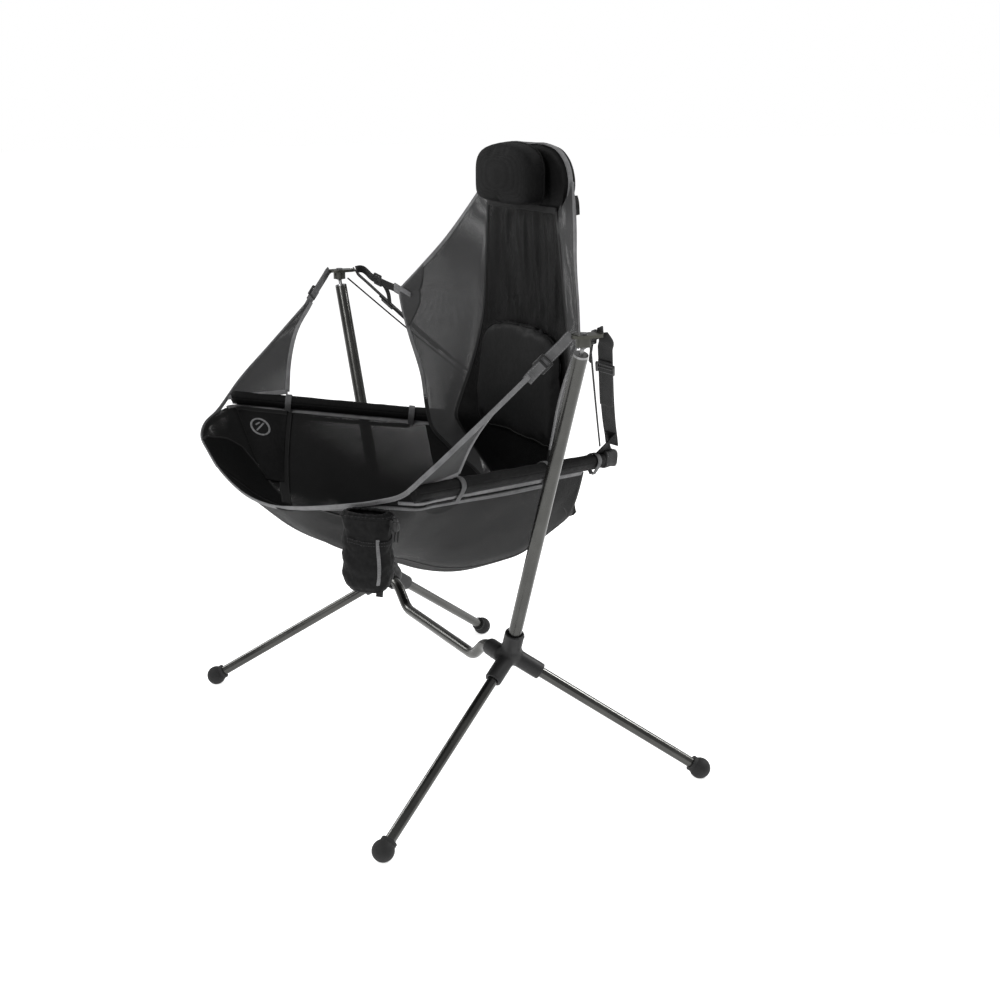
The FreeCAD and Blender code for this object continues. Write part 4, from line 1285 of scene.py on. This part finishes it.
def wing_grid(side):
    """From the seat's rear corner up to the head; inner edge first in each row."""
    edge = back_grid()[:, -1 if side > 0 else 0]
    panel = side_panel_grid(side)
    heights = (471, 515, 560, 600, 640, 690, 760, 822, 862, 920, 985, 1036)
    inner = [[np.interp(z / 1000, edge[:, 2], edge[:, k]) for k in range(3)] for z in heights]
    inner += ats(mirrored([(147, 186, 1086)], side))
    outer = [on_panel(panel, side, *place) for place in
             ((177, 0, 1.5), (165, 13, 1.5), (142, 24, 4), (115, 34, 13), (94, 41, 20))]
    outer += ats(mirrored([(277, 86, 684), (317, 79, 760), (350, 78, 815), (368, 80, 848),
                           (316, 108, 902), (256, 138, 966), (206, 166, 1034),
                           (159, 189, 1098)], side))
    rows = []
    for i, o in zip(inner, outer):
        i, o = np.array(i, float), np.array(o, float)
        sag = (0, np.linalg.norm(o - i) * 0.035, 0)
        rows.append([i, i * 0.67 + o * 0.33 + sag, i * 0.33 + o * 0.67 + sag, o])
    low = net(rows[:9], WING_COLUMNS, WING_CORNER_ROW + 1)
    high = net(rows[8:], WING_COLUMNS, 46)
    return np.concatenate([low[:-1], high])


class RECLINER_OT_wings(bpy.types.Operator):
    """The mesh wings between the seat, the hanging plates and the head"""

    bl_idname = "recliner.wings"
    bl_label = "Wings"

    def execute(self, context):
        sizes = cloth_sizes()
        for name, side in SIDES:
            grid = rumple(wing_grid(side), 0.0045, (7, 5, 4.5), seed=11.3 + side)
            wing = cloth(f"wing_cloth_{name}", grid, finish("mesh"), sizes.cloth_thickness)
            bending(wing, [f"wing_{name}"])
            declare(grid)
            normals = grid_normals(grid)
            free = slice(WING_FREE_ROW, WING_CORNER_ROW + 1)
            front = binding(f"wing_front_binding_{name}", grid[free, -1], normals[free, -1],
                            count=50)
            bending(front)
            top = binding(f"wing_top_binding_{name}", grid[WING_CORNER_ROW:, -1],
                          normals[WING_CORNER_ROW:, -1], count=66)
            bending(top)
            sewn = slice(0, WING_FREE_ROW + 2)
            seam = dark_seam(f"wing_low_seam_{name}", grid[sewn, -1], normals[sewn, -1], 0.008)
            bending(seam)
            patch_grid = self.corner_patch(grid)
            patch = cloth(f"wing_corner_patch_{name}", patch_grid, finish("mesh"), 0.0036)
            bending(patch)
            declare(patch_grid)
        return {"FINISHED"}

    def corner_patch(self, grid):
        """A second layer of mesh over the corner that the strap pulls."""
        last = WING_COLUMNS - 1
        rows = []
        for share in np.linspace(0, 1, 30):
            deep = last - 9 * math.sin(math.pi * share)
            rows.append([on_grid(grid, 62 + 27 * share, deep + (last - deep) * along)
                         for along in np.linspace(0, 1, 14)])
        return np.array(rows)


# ---- head


HOOP_ROD_RADIUS = 0.0045


class RECLINER_OT_head(bpy.types.Operator):
    """The hood over the hoop, its binding and the pull tab"""

    bl_idname = "recliner.head"
    bl_label = "Head"

    def execute(self, context):
        sizes = cloth_sizes()
        low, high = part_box("head_hoop")
        middle = (low + high) / 2 * 1000
        reach = middle.y - HUB_PLANE
        top = high.z * 1000 - 4
        half = [(150, 1066), (156, 1098), (145, 1128), (118, 1151), (70, 1163)]
        arch = [(-x, z) for x, z in half] + [(0, top)] + half[::-1]
        rows = []
        for share, y in ((0.0, reach + 8), (0.5, reach + 1), (1.0, reach - 9)):
            rows.append([at(x * (1 - 0.02 * share), y, z - 3 * share) for x, z in arch])
        for share, y in ((0.35, -13), (0.75, -12), (1.0, -9)):
            rows.append([at(x * (1 - 0.12 * share), reach + y, z - (z - 1034) * share)
                         for x, z in arch])
        grid = rumple(net(rows, 80, 34), 0.0016, (16, 8, 12), seed=5.0)
        hood = cloth("head_hood_cloth", grid, finish("black"), sizes.cloth_thickness)
        riding(hood, "back", ["head_hood"])
        declare(grid)
        path = line([at(x, reach - 2, z + 1.2) for x, z in arch], 90)
        out = unit(path - at(0, reach, 1040))
        edge = tape("head_binding", path, out, 0.0095, 0.003, finish("binding"), finish("thread"))
        riding(edge, "back")
        dress_nodes(["head_hoop"], "bar")
        for name, side in SIDES:
            x, rod_y = side * (high.x - HOOP_ROD_RADIUS), (low.y + high.y) / 2
            leg = line([(x, rod_y, low.z - 0.006), (x, rod_y, low.z + 0.03),
                        (x, rod_y, low.z + 0.084)], 30)
            _, across, up = frames_along(leg, (0, 1, 0))
            channel = Shape()
            around = 24
            rows = []
            for k, p in enumerate(leg):
                wide = 0.0078 * min(1.0, math.sqrt(k / 4 + 0.02)) + 0.0003 * math.sin(k * 1.3)
                rows.append([p + across[k] * wide * a + up[k] * wide * b
                             for a, b in oval(1, 1, around, 0.55)])
            faces = grid_faces(len(rows), around, wrap=True) + [tuple(range(around))[::-1]]
            uvs = np.stack(np.meshgrid(np.arange(around) * 0.002, lengths(leg)), axis=-1)
            channel.add(np.array(rows), faces, uvs)
            riding(channel.build(f"hoop_channel_{name}", finish("black")), "back")
        # pull tab
        low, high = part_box("pull_tab")
        c = np.array((low + high) / 2)
        tab = line([c + (-0.004, 0, 0.016), c + (0.001, 0, 0.006), c + (0.002, 0.001, -0.008),
                    c + (0.0, 0.003, -0.019)], 20)
        piece = dark_tape("pull_tab_webbing", tab, (1, 0, 0.1), 0.015, 0.0024)
        riding(piece, "back", ["pull_tab"])
        return {"FINISHED"}


class RECLINER_OT_pillow(bpy.types.Operator):
    """The head pillow, a stuffed cushion with a rounded top"""

    bl_idname = "recliner.pillow"
    bl_label = "Pillow"

    def execute(self, context):
        low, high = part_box("pillow")
        low, high = np.array(low), np.array(high) + (0, 0.006, 0)
        centre, half = (low + high) / 2, (high - low) / 2 - 0.003
        shape = Shape()
        rings, around = 44, 72
        points = []
        for i in range(rings + 1):
            v = -math.pi / 2 + math.pi * i / rings
            cv, sv = math.cos(v), math.sin(v)
            y = boxed(sv, 0.55 if sv < 0 else 0.3)
            for j in range(around):
                cx, sx = turned(j, around)
                # the upper corners are wide arcs and the lower ones are nearly square
                squareness = 0.78 if sx > 0 else 0.3
                x = boxed(cx, squareness) * abs(cv) ** 0.3
                z = boxed(sx, squareness) * abs(cv) ** 0.3
                fall = 1 - 0.1 * max(0.0, z) ** 3 * max(0.0, 0.55 - y) / 1.55
                points.append(centre + half * (x, y, z * fall))
        shape.add(points, grid_faces(rings + 1, around, wrap=True))
        pillow = shape.build("pillow_cloth", finish("pillow"))
        weld = pillow.modifiers.new("Weld", "WELD")
        weld.merge_threshold = 0.0003
        settle(pillow)
        puff(pillow, 0.005, 0.009)
        tree = near_surface([pillow])
        run = []
        for j in range(121):
            c, s = turned(j, 120)
            run.append((centre[0] + half[0] * 1.15 * boxed(c, 0.5), centre[1] + half[1] * 0.7,
                        centre[2] + half[2] * 1.15 * boxed(s, 0.5)))
        run, _ = laid_on(tree, run, 0.0006)
        piping = rope("pillow_piping_rear", line(run[::3], 200), 0.0016, finish("black"))
        riding(piping, "headrest")
        subdivide(pillow)
        riding(pillow, "headrest", ["pillow"])
        return {"FINISHED"}


# ---- webbing and buckles


class RECLINER_OT_straps(bpy.types.Operator):
    """The webbing from the hanging plates, with its ladder-locks and thin cords"""

    bl_idname = "recliner.straps"
    bl_label = "Straps"

    def execute(self, context):
        for name, side in SIDES:
            self.front(name, side)
            self.rear(name, side)
            self.wing(name, side)
        for place in ("gusset", "rear", "wing"):
            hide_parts(f"{place}_buckles")
        return {"FINISHED"}

    def front(self, name, side):
        thick = cloth_sizes().webbing_thickness
        out = np.array((side * 0.9, -0.42, 0.1))
        path = ats(mirrored([(509, -23, 883), (508.5, -27, 880), (506, -34, 872),
                             (496, -58, 846), (487, -80, 822), (483, -90, 810)], side))
        strap = tape(f"gusset_webbing_{name}", line(path, 44), out, 0.018, thick,
                     finish("grey_webbing"), finish("thread"))
        riding(strap, "seat", [f"gusset_strap_{name}"])
        along = path[4] - path[3]
        across = np.cross(along, out)
        lock = ladder_lock(f"gusset_buckle_lock_{name}", at(side * 492.5, -66.5, 837) + out * 0.003,
                           along, across, 0.021, 0.024, finish("buckle"))
        riding(lock, "seat")
        tail = line([p + out * 0.004 for p in (path[3] * 0.6 + path[4] * 0.4,
                                               path[3] * 0.2 + path[4] * 0.8, path[4])], 20)
        piece = tape(f"gusset_webbing_tail_{name}", tail, out, 0.017, 0.0018,
                     finish("grey_webbing"), finish("thread"))
        riding(piece, "seat")

    def rear(self, name, side):
        thick = cloth_sizes().webbing_thickness
        start, end = at(side * 509, 41, 874), at(side * 184, 270, 603)
        facing = unit(np.cross((side * 0.8, 0.6, -0.12), end - start)) * -side
        points = []
        for share, bow in ((0, 0), (0.08, 2), (0.25, 5), (0.5, 8), (0.75, 6), (0.93, 1), (1, 0)):
            points.append(start + (end - start) * share + facing * bow / 1000)
        path = line([start + (0, -0.006, 0.008)] + points, 110)
        strap = dark_tape(f"rear_webbing_{name}", path, facing, 0.026, thick)
        riding(strap, "seat", [f"rear_strap_{name}"])
        _, across, up = frames_along(path, facing)
        i = 26
        lock = ladder_lock(f"rear_buckle_lock_{name}", path[i] + up[i] * 0.0035,
                           path[i + 1] - path[i - 1], across[i], 0.03, 0.034, finish("buckle"))
        riding(lock, "seat")
        second = path[20:60] + up[20:60] * (0.0026 + 0.003 * np.linspace(0, 1, 40)[:, None] ** 2)
        piece = dark_tape(f"rear_webbing_tail_{name}", second, facing, 0.025, 0.002)
        riding(piece, "seat")
        # triangular patch that spreads the pull into the bar's corner
        top = path[92]
        feet = [at(side * bar_at(r)[0], bar_at(r)[1], bar_at(r)[2] + 11) for r in (216, 276)]
        rows = []
        for share in np.linspace(0, 1, 8):
            a = top + (feet[0] - top) * share - across[92] * 0.012 * (1 - share)
            b = top + (feet[1] - top) * share + across[92] * 0.012 * (1 - share)
            rows.append([a, (a + b) / 2, b])
        grid = net(rows, 14, 22)
        patch = cloth(f"bar_corner_patch_{name}", grid, finish("black"), 0.0016)
        riding(patch, "seat")
        declare(grid)
        # thin tension cord
        low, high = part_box(f"tension_cord_{name}")
        a = np.array((low.x if side < 0 else high.x, low.y, high.z))
        b = np.array((high.x if side < 0 else low.x, high.y, low.z))
        sway = np.array((0, 0, -0.003))
        string = rope(f"tension_line_{name}", line([a, a * 0.7 + b * 0.3 + sway,
                                                    a * 0.3 + b * 0.7 + sway, b], 60),
                      0.00175, finish("cord"))
        riding(string, "seat", [f"tension_cord_{name}"])

    def wing(self, name, side):
        start = at(side * 495, 42, 883)
        corner = at(side * 372, 80, 849)
        out = unit(np.cross(corner - start, (0, 0, 1))) * side
        path = line([start + (0, -0.008, -0.001), start,
                     start * 0.66 + corner * 0.34 + (0, 0, -0.004),
                     start * 0.3 + corner * 0.7 + (0, 0, -0.003), corner], 50)
        strap = dark_tape(f"wing_webbing_{name}", path, out, 0.016, 0.0022)
        riding(strap, "seat", [f"wing_strap_{name}"])
        i = 24
        lock = ladder_lock(f"wing_buckle_lock_{name}", path[i] + out * 0.0034,
                           path[i + 1] - path[i - 1], (0, 0, 1), 0.02, 0.024, finish("buckle"))
        riding(lock, "seat")
        tail = line([path[i + 2] + out * 0.004, path[i + 6] + out * 0.006 + (0, 0, -0.006),
                     path[i + 10] + out * 0.007 + (0, 0, -0.02),
                     path[i + 12] + out * 0.006 + (0, 0, -0.04)], 24)
        piece = dark_tape(f"wing_webbing_tail_{name}", tail, out, 0.012, 0.0016)
        riding(piece, "seat")
        # grey tab sewn on the wing's corner
        tab = line(ats(mirrored([(384, 75, 853), (371, 79, 849), (352, 86, 842), (338, 92, 836)],
                                side)), 20)
        piece = tape(f"wing_corner_tab_{name}", tab, (side * 0.3, -0.9, 0), 0.022, 0.0036,
                     finish("binding"), finish("thread"))
        riding(piece, "seat")


# ---- pockets


class RECLINER_OT_bottle_pocket(bpy.types.Operator):
    """The drawstring bottle pocket on the left, with its binding and cord lock"""

    bl_idname = "recliner.bottle_pocket"
    bl_label = "Bottle pocket"

    def execute(self, context):
        front, corner = np.array(at(443, -275, 637)), np.array(at(355, -355, 615))
        edge = unit((corner - front) * (1, 1, 0))
        outward = np.array((-edge[1], edge[0], 0))
        low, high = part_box("bottle_pocket")
        centre = np.array((low + high) / 2)
        top, bottom = high.z, low.z
        half_l, half_d = 0.0405, 0.0255
        levels = [
            (0.0, 0.93, 0.80), (0.035, 0.97, 0.88), (0.10, 0.96, 0.86), (0.25, 0.94, 0.9),
            (0.5, 0.97, 0.98), (0.7, 1.0, 1.03), (0.84, 0.94, 0.98), (0.93, 0.76, 0.8),
            (0.985, 0.42, 0.45), (1.0, 0.04, 0.05),
        ]
        around = 72
        rows = []
        for share, wide, deep in levels:
            ring = []
            for j in range(around + 1):
                c, s = turned(j, around)
                x = boxed(c, 0.7) * half_l * wide
                y = boxed(s, 0.7) * half_d * deep
                p = centre + edge * x + outward * y
                p[2] = top + (bottom - top) * share
                ring.append(p)
            rows.append(ring)
        lines = np.array([line(ring, around + 1) for ring in rows])
        knots = np.array([share for share, _, _ in levels])
        grid = hermite(knots, lines, np.linspace(0, 1, 64))
        out = grid - centre
        out[..., 2] = 0
        out = unit(out)
        for i in range(grid.shape[0]):
            for j in range(grid.shape[1]):
                u = 2 * math.pi * (j % around) / around
                spot = Vector((math.cos(u) * 2.3, math.sin(u) * 2.3, i * 0.11))
                gather = math.sin(u * 17) * 0.0012 * max(0, 1 - i / 9)
                fold = 0.0032 * noise.noise(spot) + 0.0015 * noise.noise(spot * 2.4)
                grid[i, j] += out[i, j] * (gather + fold * min(1, i / 8) * min(1, (63 - i) / 12))
        shape = Shape()
        shape.add(grid, grid_faces(*grid.shape[:2]), grid_uvs(grid))
        pocket = shape.build("bottle_pocket_cloth", finish("pocket"))
        thicken(pocket, 0.0016, -1)
        riding(pocket, "seat", ["bottle_pocket"])
        declare(grid)
        hem = grid[1, :-1]
        casing = tape("bottle_pocket_hem", hem, unit(hem - centre), 0.013, 0.0034,
                      finish("pocket"), finish("dark_thread"), closed=True)
        riding(casing, "seat")
        # outer patch pocket with its own curved mouth
        first, last = 10, 43
        mouth = np.array([grid[20 + int(3 * math.sin((j - first) / (last - first) * math.pi)), j]
                          for j in range(first, last + 1)])
        outer = unit(mouth - centre * (1, 1, 0) - np.array((0, 0, 1)) * mouth[:, 2:])
        lip = tape("bottle_pocket_mouth", mouth + outer * 0.0016, outer, 0.009, 0.0022,
                   finish("pocket"), finish("dark_thread"))
        riding(lip, "seat")
        strip = grid[18:58, 27]
        outer = unit((strip - centre) * (1, 1, 0))
        band = tape("bottle_pocket_binding", line((strip + outer * 0.0024)[::6], 60),
                    unit(line(strip, 60) - centre), 0.006, 0.0024, finish("binding"),
                    finish("thread"))
        riding(band, "seat")
        # drawcord and its lock
        low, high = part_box("cord_lock")
        lock_at = np.array((low + high) / 2)
        exit_at = hem[4]
        for k, way in enumerate((-1, 1)):
            path = line([exit_at + (0, 0, 0.004),
                         (exit_at + lock_at) / 2 + edge * 0.004 * way + (0, 0, 0.004),
                         lock_at + edge * 0.002 * way + (0, 0, 0.008),
                         lock_at + edge * 0.003 * way - (0, 0, 0.026)], 26)
            string = rope(f"bottle_pocket_drawcord_{k + 1}", path, 0.0013, finish("cord"))
            riding(string, "seat")
        shape = Shape()
        add_bar(shape, lock_at + (0, 0, 0.008), lock_at - (0, 0, 0.008), edge, 0.0058, 0.0052)
        add_bar(shape, lock_at + (0, 0, 0.0135), lock_at + (0, 0, 0.006), edge, 0.004, 0.0038)
        lock = shape.build("cord_lock_body", finish("lock"))
        riding(lock, "seat", ["cord_lock"])
        # loop sewn under the pocket
        foot = grid[-4, 30]
        tab = line([foot + (0, 0, 0.004), foot + outward * 0.002 + (0, 0, -0.004),
                    foot + outward * 0.003 + (0, 0, -0.009)], 12)
        riding(dark_tape("bottle_pocket_tab", tab, outward, 0.012, 0.0024), "seat")
        return {"FINISHED"}


class RECLINER_OT_inner_pocket(bpy.types.Operator):
    """The flat pocket inside the right panel and the patch outside the left one"""

    bl_idname = "recliner.inner_pocket"
    bl_label = "Inner pocket"

    def execute(self, context):
        panel = side_panel_grid(-1)
        inside = turned_to(panel, (40, 20), 1)
        rows = []
        for share in np.linspace(0, 1, 48):
            row = []
            for rise in np.linspace(0, 1, 40):
                column = 13 + 28.5 * rise
                place = 25 + (self.band_row(column) - 25) * share
                row.append(on_grid(panel, place, column) + on_grid(inside, place, column) * 0.0045)
            rows.append(row)
        fine = np.array(rows)
        swell = np.outer(np.sin(np.linspace(0, math.pi, 48)), np.sin(np.linspace(0, math.pi, 40)))
        facing = turned_to(fine, (20, 20), 1)
        fine = rumple(fine + facing * swell[..., None] * 0.005, 0.0016, (18, 18, 14), seed=8.2)
        pocket = cloth("inner_pocket_cloth", fine, finish("pocket"), 0.0014)
        riding(pocket, "seat", ["inner_pocket"])
        declare(fine)
        band = [(self.band_row(column), column) for column in np.linspace(1, 42, 60)]
        path = np.array([on_grid(panel, i, j) + on_grid(inside, i, j) * 0.003 for i, j in band])
        edge = dark_tape("inner_pocket_band", path, unit([on_grid(inside, i, j) for i, j in band]),
                         0.02, 0.003)
        riding(edge, "seat")
        hem = dark_tape("inner_pocket_hem", fine[:, -1] + facing[:, -1] * 0.001, facing[:, -1],
                        0.011, 0.0026)
        riding(hem, "seat")
        self.badge(pocket, fine, facing[22, 22])
        self.half_moon()
        return {"FINISHED"}

    def band_row(self, column):
        """The row of the panel's grid where the pocket's slanted rear band runs."""
        return 42 - (43 - column) * 0.36

    def badge(self, pocket, fine, front):
        """A plain ring printed on the pocket, with two slanted bars in it."""
        tree = near_surface([pocket])
        middle = fine[21, 30]
        over, up = unit(fine[27, 30] - fine[15, 30]), unit(fine[21, 36] - fine[21, 24])
        ring = []
        for j in range(61):
            c, s = turned(j, 60)
            ring.append(middle + over * c * 0.019 + up * s * 0.021)
        path, out = self.printed_on(tree, ring, front)
        path, out = path[:-1], out[:-1]
        badge = Shape()
        _, side_way, up_way = frames_along(path, out, closed=True)
        swept(badge, path + out * 0.0012, oval(0.0022, 0.0007, 10, 0.6), side_way, up_way,
              closed=True)
        for a, b in (((-0.009, -0.011), (0.009, 0.011)), ((-0.009, 0.004), (0.001, 0.012))):
            bar = [middle + over * (a[0] + (b[0] - a[0]) * s) + up * (a[1] + (b[1] - a[1]) * s)
                   for s in np.linspace(0, 1, 12)]
            bar, out = self.printed_on(tree, bar, front)
            _, side_way, up_way = frames_along(bar, out)
            swept(badge, bar + out * 0.0012, oval(0.002, 0.0006, 10, 0.6), side_way, up_way)
        riding(badge.build("inner_pocket_badge", finish("mark")), "seat")

    def printed_on(self, tree, path, front):
        """A path on the pocket's surface, with its normals all on the front's side."""
        path, out = laid_on(tree, path, 0.0)
        return path, out * np.sign(out @ front)[:, None]

    def half_moon(self):
        """The half-moon patch under the left bar."""
        panel = side_panel_grid(1)
        outside = turned_to(panel, (40, 20), 1)
        steps = 12
        rows = []
        for k in range(steps + 1):
            share = k / steps
            depth = 0.5 + 5.5 * math.sin(math.pi * share) ** 0.7
            i = 29.5 + 16 * share
            row = []
            for s in np.linspace(0, 1, 5):
                j = 42.5 - depth * s
                i0, j0 = int(i), int(j)
                p = panel[i0, j0] + (panel[i0 + 1, j0] - panel[i0, j0]) * (i - i0)
                p = p + (panel[i0, min(j0 + 1, 43)] - panel[i0, j0]) * (j - j0)
                row.append(p + outside[i0, j0] * 0.0022)
            rows.append(row)
        grid = net(rows, 16, 44)
        patch = cloth("side_patch_cloth", grid, finish("black"), 0.0014)
        riding(patch, "seat")
        declare(grid)


# ---- base and hanging points


class RECLINER_OT_base(bpy.types.Operator):
    """Finishes of the hubs, tubes and feet, with moulded fillets on the hubs"""

    bl_idname = "recliner.base"
    bl_label = "Base"

    def execute(self, context):
        nodes = frame["nodes"]
        tubes = [n for n in nodes if n.startswith(("upright_", "leg_tube_"))] + ["crossbar"]
        dress_nodes(tubes, "tube")
        dress_nodes([n for n in nodes if n.startswith("foot_")], "rubber")
        dress_nodes([n for n in nodes if n.startswith("shock_cord_")], "cord")
        dress_nodes([f"hub_{name}" for name, _ in SIDES], "hub")
        dress_nodes(["hub_screws"], "screw")
        for name, _ in SIDES:
            hub = nodes[f"hub_{name}"]
            remesh = hub.modifiers.new("Skin", "REMESH")
            remesh.mode = "VOXEL"
            remesh.voxel_size = 0.0016
            remesh.use_smooth_shade = True
            smooth = hub.modifiers.new("Fillets", "SMOOTH")
            smooth.factor, smooth.iterations = 0.6, 14
        for node in nodes:
            if node.startswith("foot_"):
                soften(node, 0.0016)
        soften("hub_screws", 0.0006)
        return {"FINISHED"}


class RECLINER_OT_hangers(bpy.types.Operator):
    """Finishes of the plates, pins, cups and hanging balls"""

    bl_idname = "recliner.hangers"
    bl_label = "Hanging points"

    def execute(self, context):
        for name, _ in SIDES:
            dress_nodes([f"hanging_plate_{name}"], "plate")
            dress_nodes([f"ball_cup_{name}"], "cup")
            dress_nodes([f"hanging_ball_{name}"], "steel")
            soften(f"hanging_plate_{name}", 0.0009)
            soften(f"ball_cup_{name}", 0.001)
        dress_nodes(["plate_rivets"], "steel")
        soften("plate_rivets", 0.001)
        return {"FINISHED"}


# ---- stage


CAMERA_AT = (2.5327, -1.2231, 1.2640)
CAMERA_BACK = (0.8461, -0.4614, 0.2669)
CAMERA_LENS = 53.42
FLOOR_REACH = 30.0
FLOOR_GLOW = 0.66
SURROUND_SEEN = 1.0
SURROUND_LIGHT = 0.42
# name, place, what it aims at, watts and width
LIGHTS = (
    ("Key", (1.6, -3.2, 3.4), (0, 0, 0.6), 95, 1.1),
    ("Fill", (-2.8, -1.6, 2.2), (0, 0, 0.7), 40, 1.1),
    ("Rim", (0.6, 3.2, 2.8), (0, 0, 0.8), 100, 1.0),
)


class RECLINER_OT_stage(bpy.types.Operator):
    """The pale floor, the soft lights and the camera"""

    bl_idname = "recliner.stage"
    bl_label = "Stage"

    def execute(self, context):
        scene = bpy.context.scene
        shape = Shape()
        lines = np.linspace(-1, 1, 9)
        corners = [(x * FLOOR_REACH, y * FLOOR_REACH, 0) for y in lines for x in lines]
        shape.add(corners, grid_faces(len(lines), len(lines)))
        f = Finish("Floor", 0.85, specular=0.2)
        cloud = f.cloud(f.coords(), 3, 3)
        f.colour(f.blend_colours(cloud, (0.86, 0.86, 0.86), (0.9, 0.9, 0.9)))
        f.shader.inputs["Emission Color"].default_value = (1, 1, 1, 1)
        f.shader.inputs["Emission Strength"].default_value = FLOOR_GLOW
        floor = shape.build("studio_floor", f.material)
        scene.world = self.studio_world()
        for name, spot, aim, power, width in LIGHTS:
            light = bpy.data.lights.new(name, "AREA")
            light.energy, light.size = power, width
            lamp = bpy.data.objects.new(name, light)
            lamp.location = spot
            lamp.rotation_euler = (Vector(spot) - Vector(aim)).to_track_quat("Z", "Y").to_euler()
            scene.collection.objects.link(lamp)
        camera = bpy.data.cameras.new("Camera")
        camera.lens = CAMERA_LENS
        camera.sensor_width = 36
        eye = bpy.data.objects.new("Camera", camera)
        eye.location = CAMERA_AT
        eye.rotation_mode = "QUATERNION"
        eye.rotation_quaternion = (-Vector(CAMERA_BACK)).to_track_quat("-Z", "Y")
        scene.collection.objects.link(eye)
        scene.camera = eye
        scene.view_settings.view_transform = "Standard"
        return {"FINISHED"}

    def studio_world(self):
        """A white surround that lights the chair more softly than it looks."""
        world = bpy.data.worlds.new("Studio")
        world.use_nodes = True
        tree = world.node_tree
        seen, lit = tree.nodes["Background"], tree.nodes.new("ShaderNodeBackground")
        for background, strength in ((seen, SURROUND_SEEN), (lit, SURROUND_LIGHT)):
            background.inputs["Color"].default_value = (1, 1, 1, 1)
            background.inputs["Strength"].default_value = strength
        rays = tree.nodes.new("ShaderNodeLightPath")
        both = tree.nodes.new("ShaderNodeMixShader")
        tree.links.new(rays.outputs["Is Camera Ray"], both.inputs[0])
        tree.links.new(lit.outputs[0], both.inputs[1])
        tree.links.new(seen.outputs[0], both.inputs[2])
        tree.links.new(both.outputs[0], tree.nodes["World Output"].inputs["Surface"])
        return world


class RECLINER_OT_finishes(bpy.types.Operator):
    """The procedural finishes that every piece takes"""

    bl_idname = "recliner.finishes"
    bl_label = "Finishes"

    def execute(self, context):
        make_finishes(bpy.context.scene.recliner_shades)
        return {"FINISHED"}


STEPS = (
    RECLINER_OT_finishes,
    RECLINER_OT_base,
    RECLINER_OT_hangers,
    RECLINER_OT_side_bars,
    RECLINER_OT_seat_shell,
    RECLINER_OT_front_gussets,
    RECLINER_OT_back,
    RECLINER_OT_wings,
    RECLINER_OT_head,
    RECLINER_OT_pillow,
    RECLINER_OT_straps,
    RECLINER_OT_bottle_pocket,
    RECLINER_OT_inner_pocket,
    RECLINER_OT_stage,
)


class RECLINER_PT_panel(bpy.types.Panel):
    """Lists the pieces and the settings"""

    bl_idname = "RECLINER_PT_panel"
    bl_label = "Camp recliner"
    bl_space_type = "VIEW_3D"
    bl_region_type = "UI"
    bl_category = "Recliner"

    def draw(self, context):
        layout = self.layout
        for group in (context.scene.recliner_cloth, context.scene.recliner_shades):
            box = layout.box()
            for name in group.__annotations__:
                box.prop(group, name)
        for step in STEPS:
            layout.operator(step.bl_idname)


CLASSES = (RECLINER_PG_cloth, RECLINER_PG_shades, *STEPS, RECLINER_PT_panel)


def register():
    for cls in CLASSES:
        bpy.utils.register_class(cls)
    bpy.types.Scene.recliner_cloth = bpy.props.PointerProperty(type=RECLINER_PG_cloth)
    bpy.types.Scene.recliner_shades = bpy.props.PointerProperty(type=RECLINER_PG_shades)


def unregister():
    del bpy.types.Scene.recliner_shades
    del bpy.types.Scene.recliner_cloth
    for cls in reversed(CLASSES):
        bpy.utils.unregister_class(cls)


def main():
    register()
    for step in STEPS:
        family, name = step.bl_idname.split(".")
        getattr(getattr(bpy.ops, family), name)()


if __name__ == "__main__":
    main()
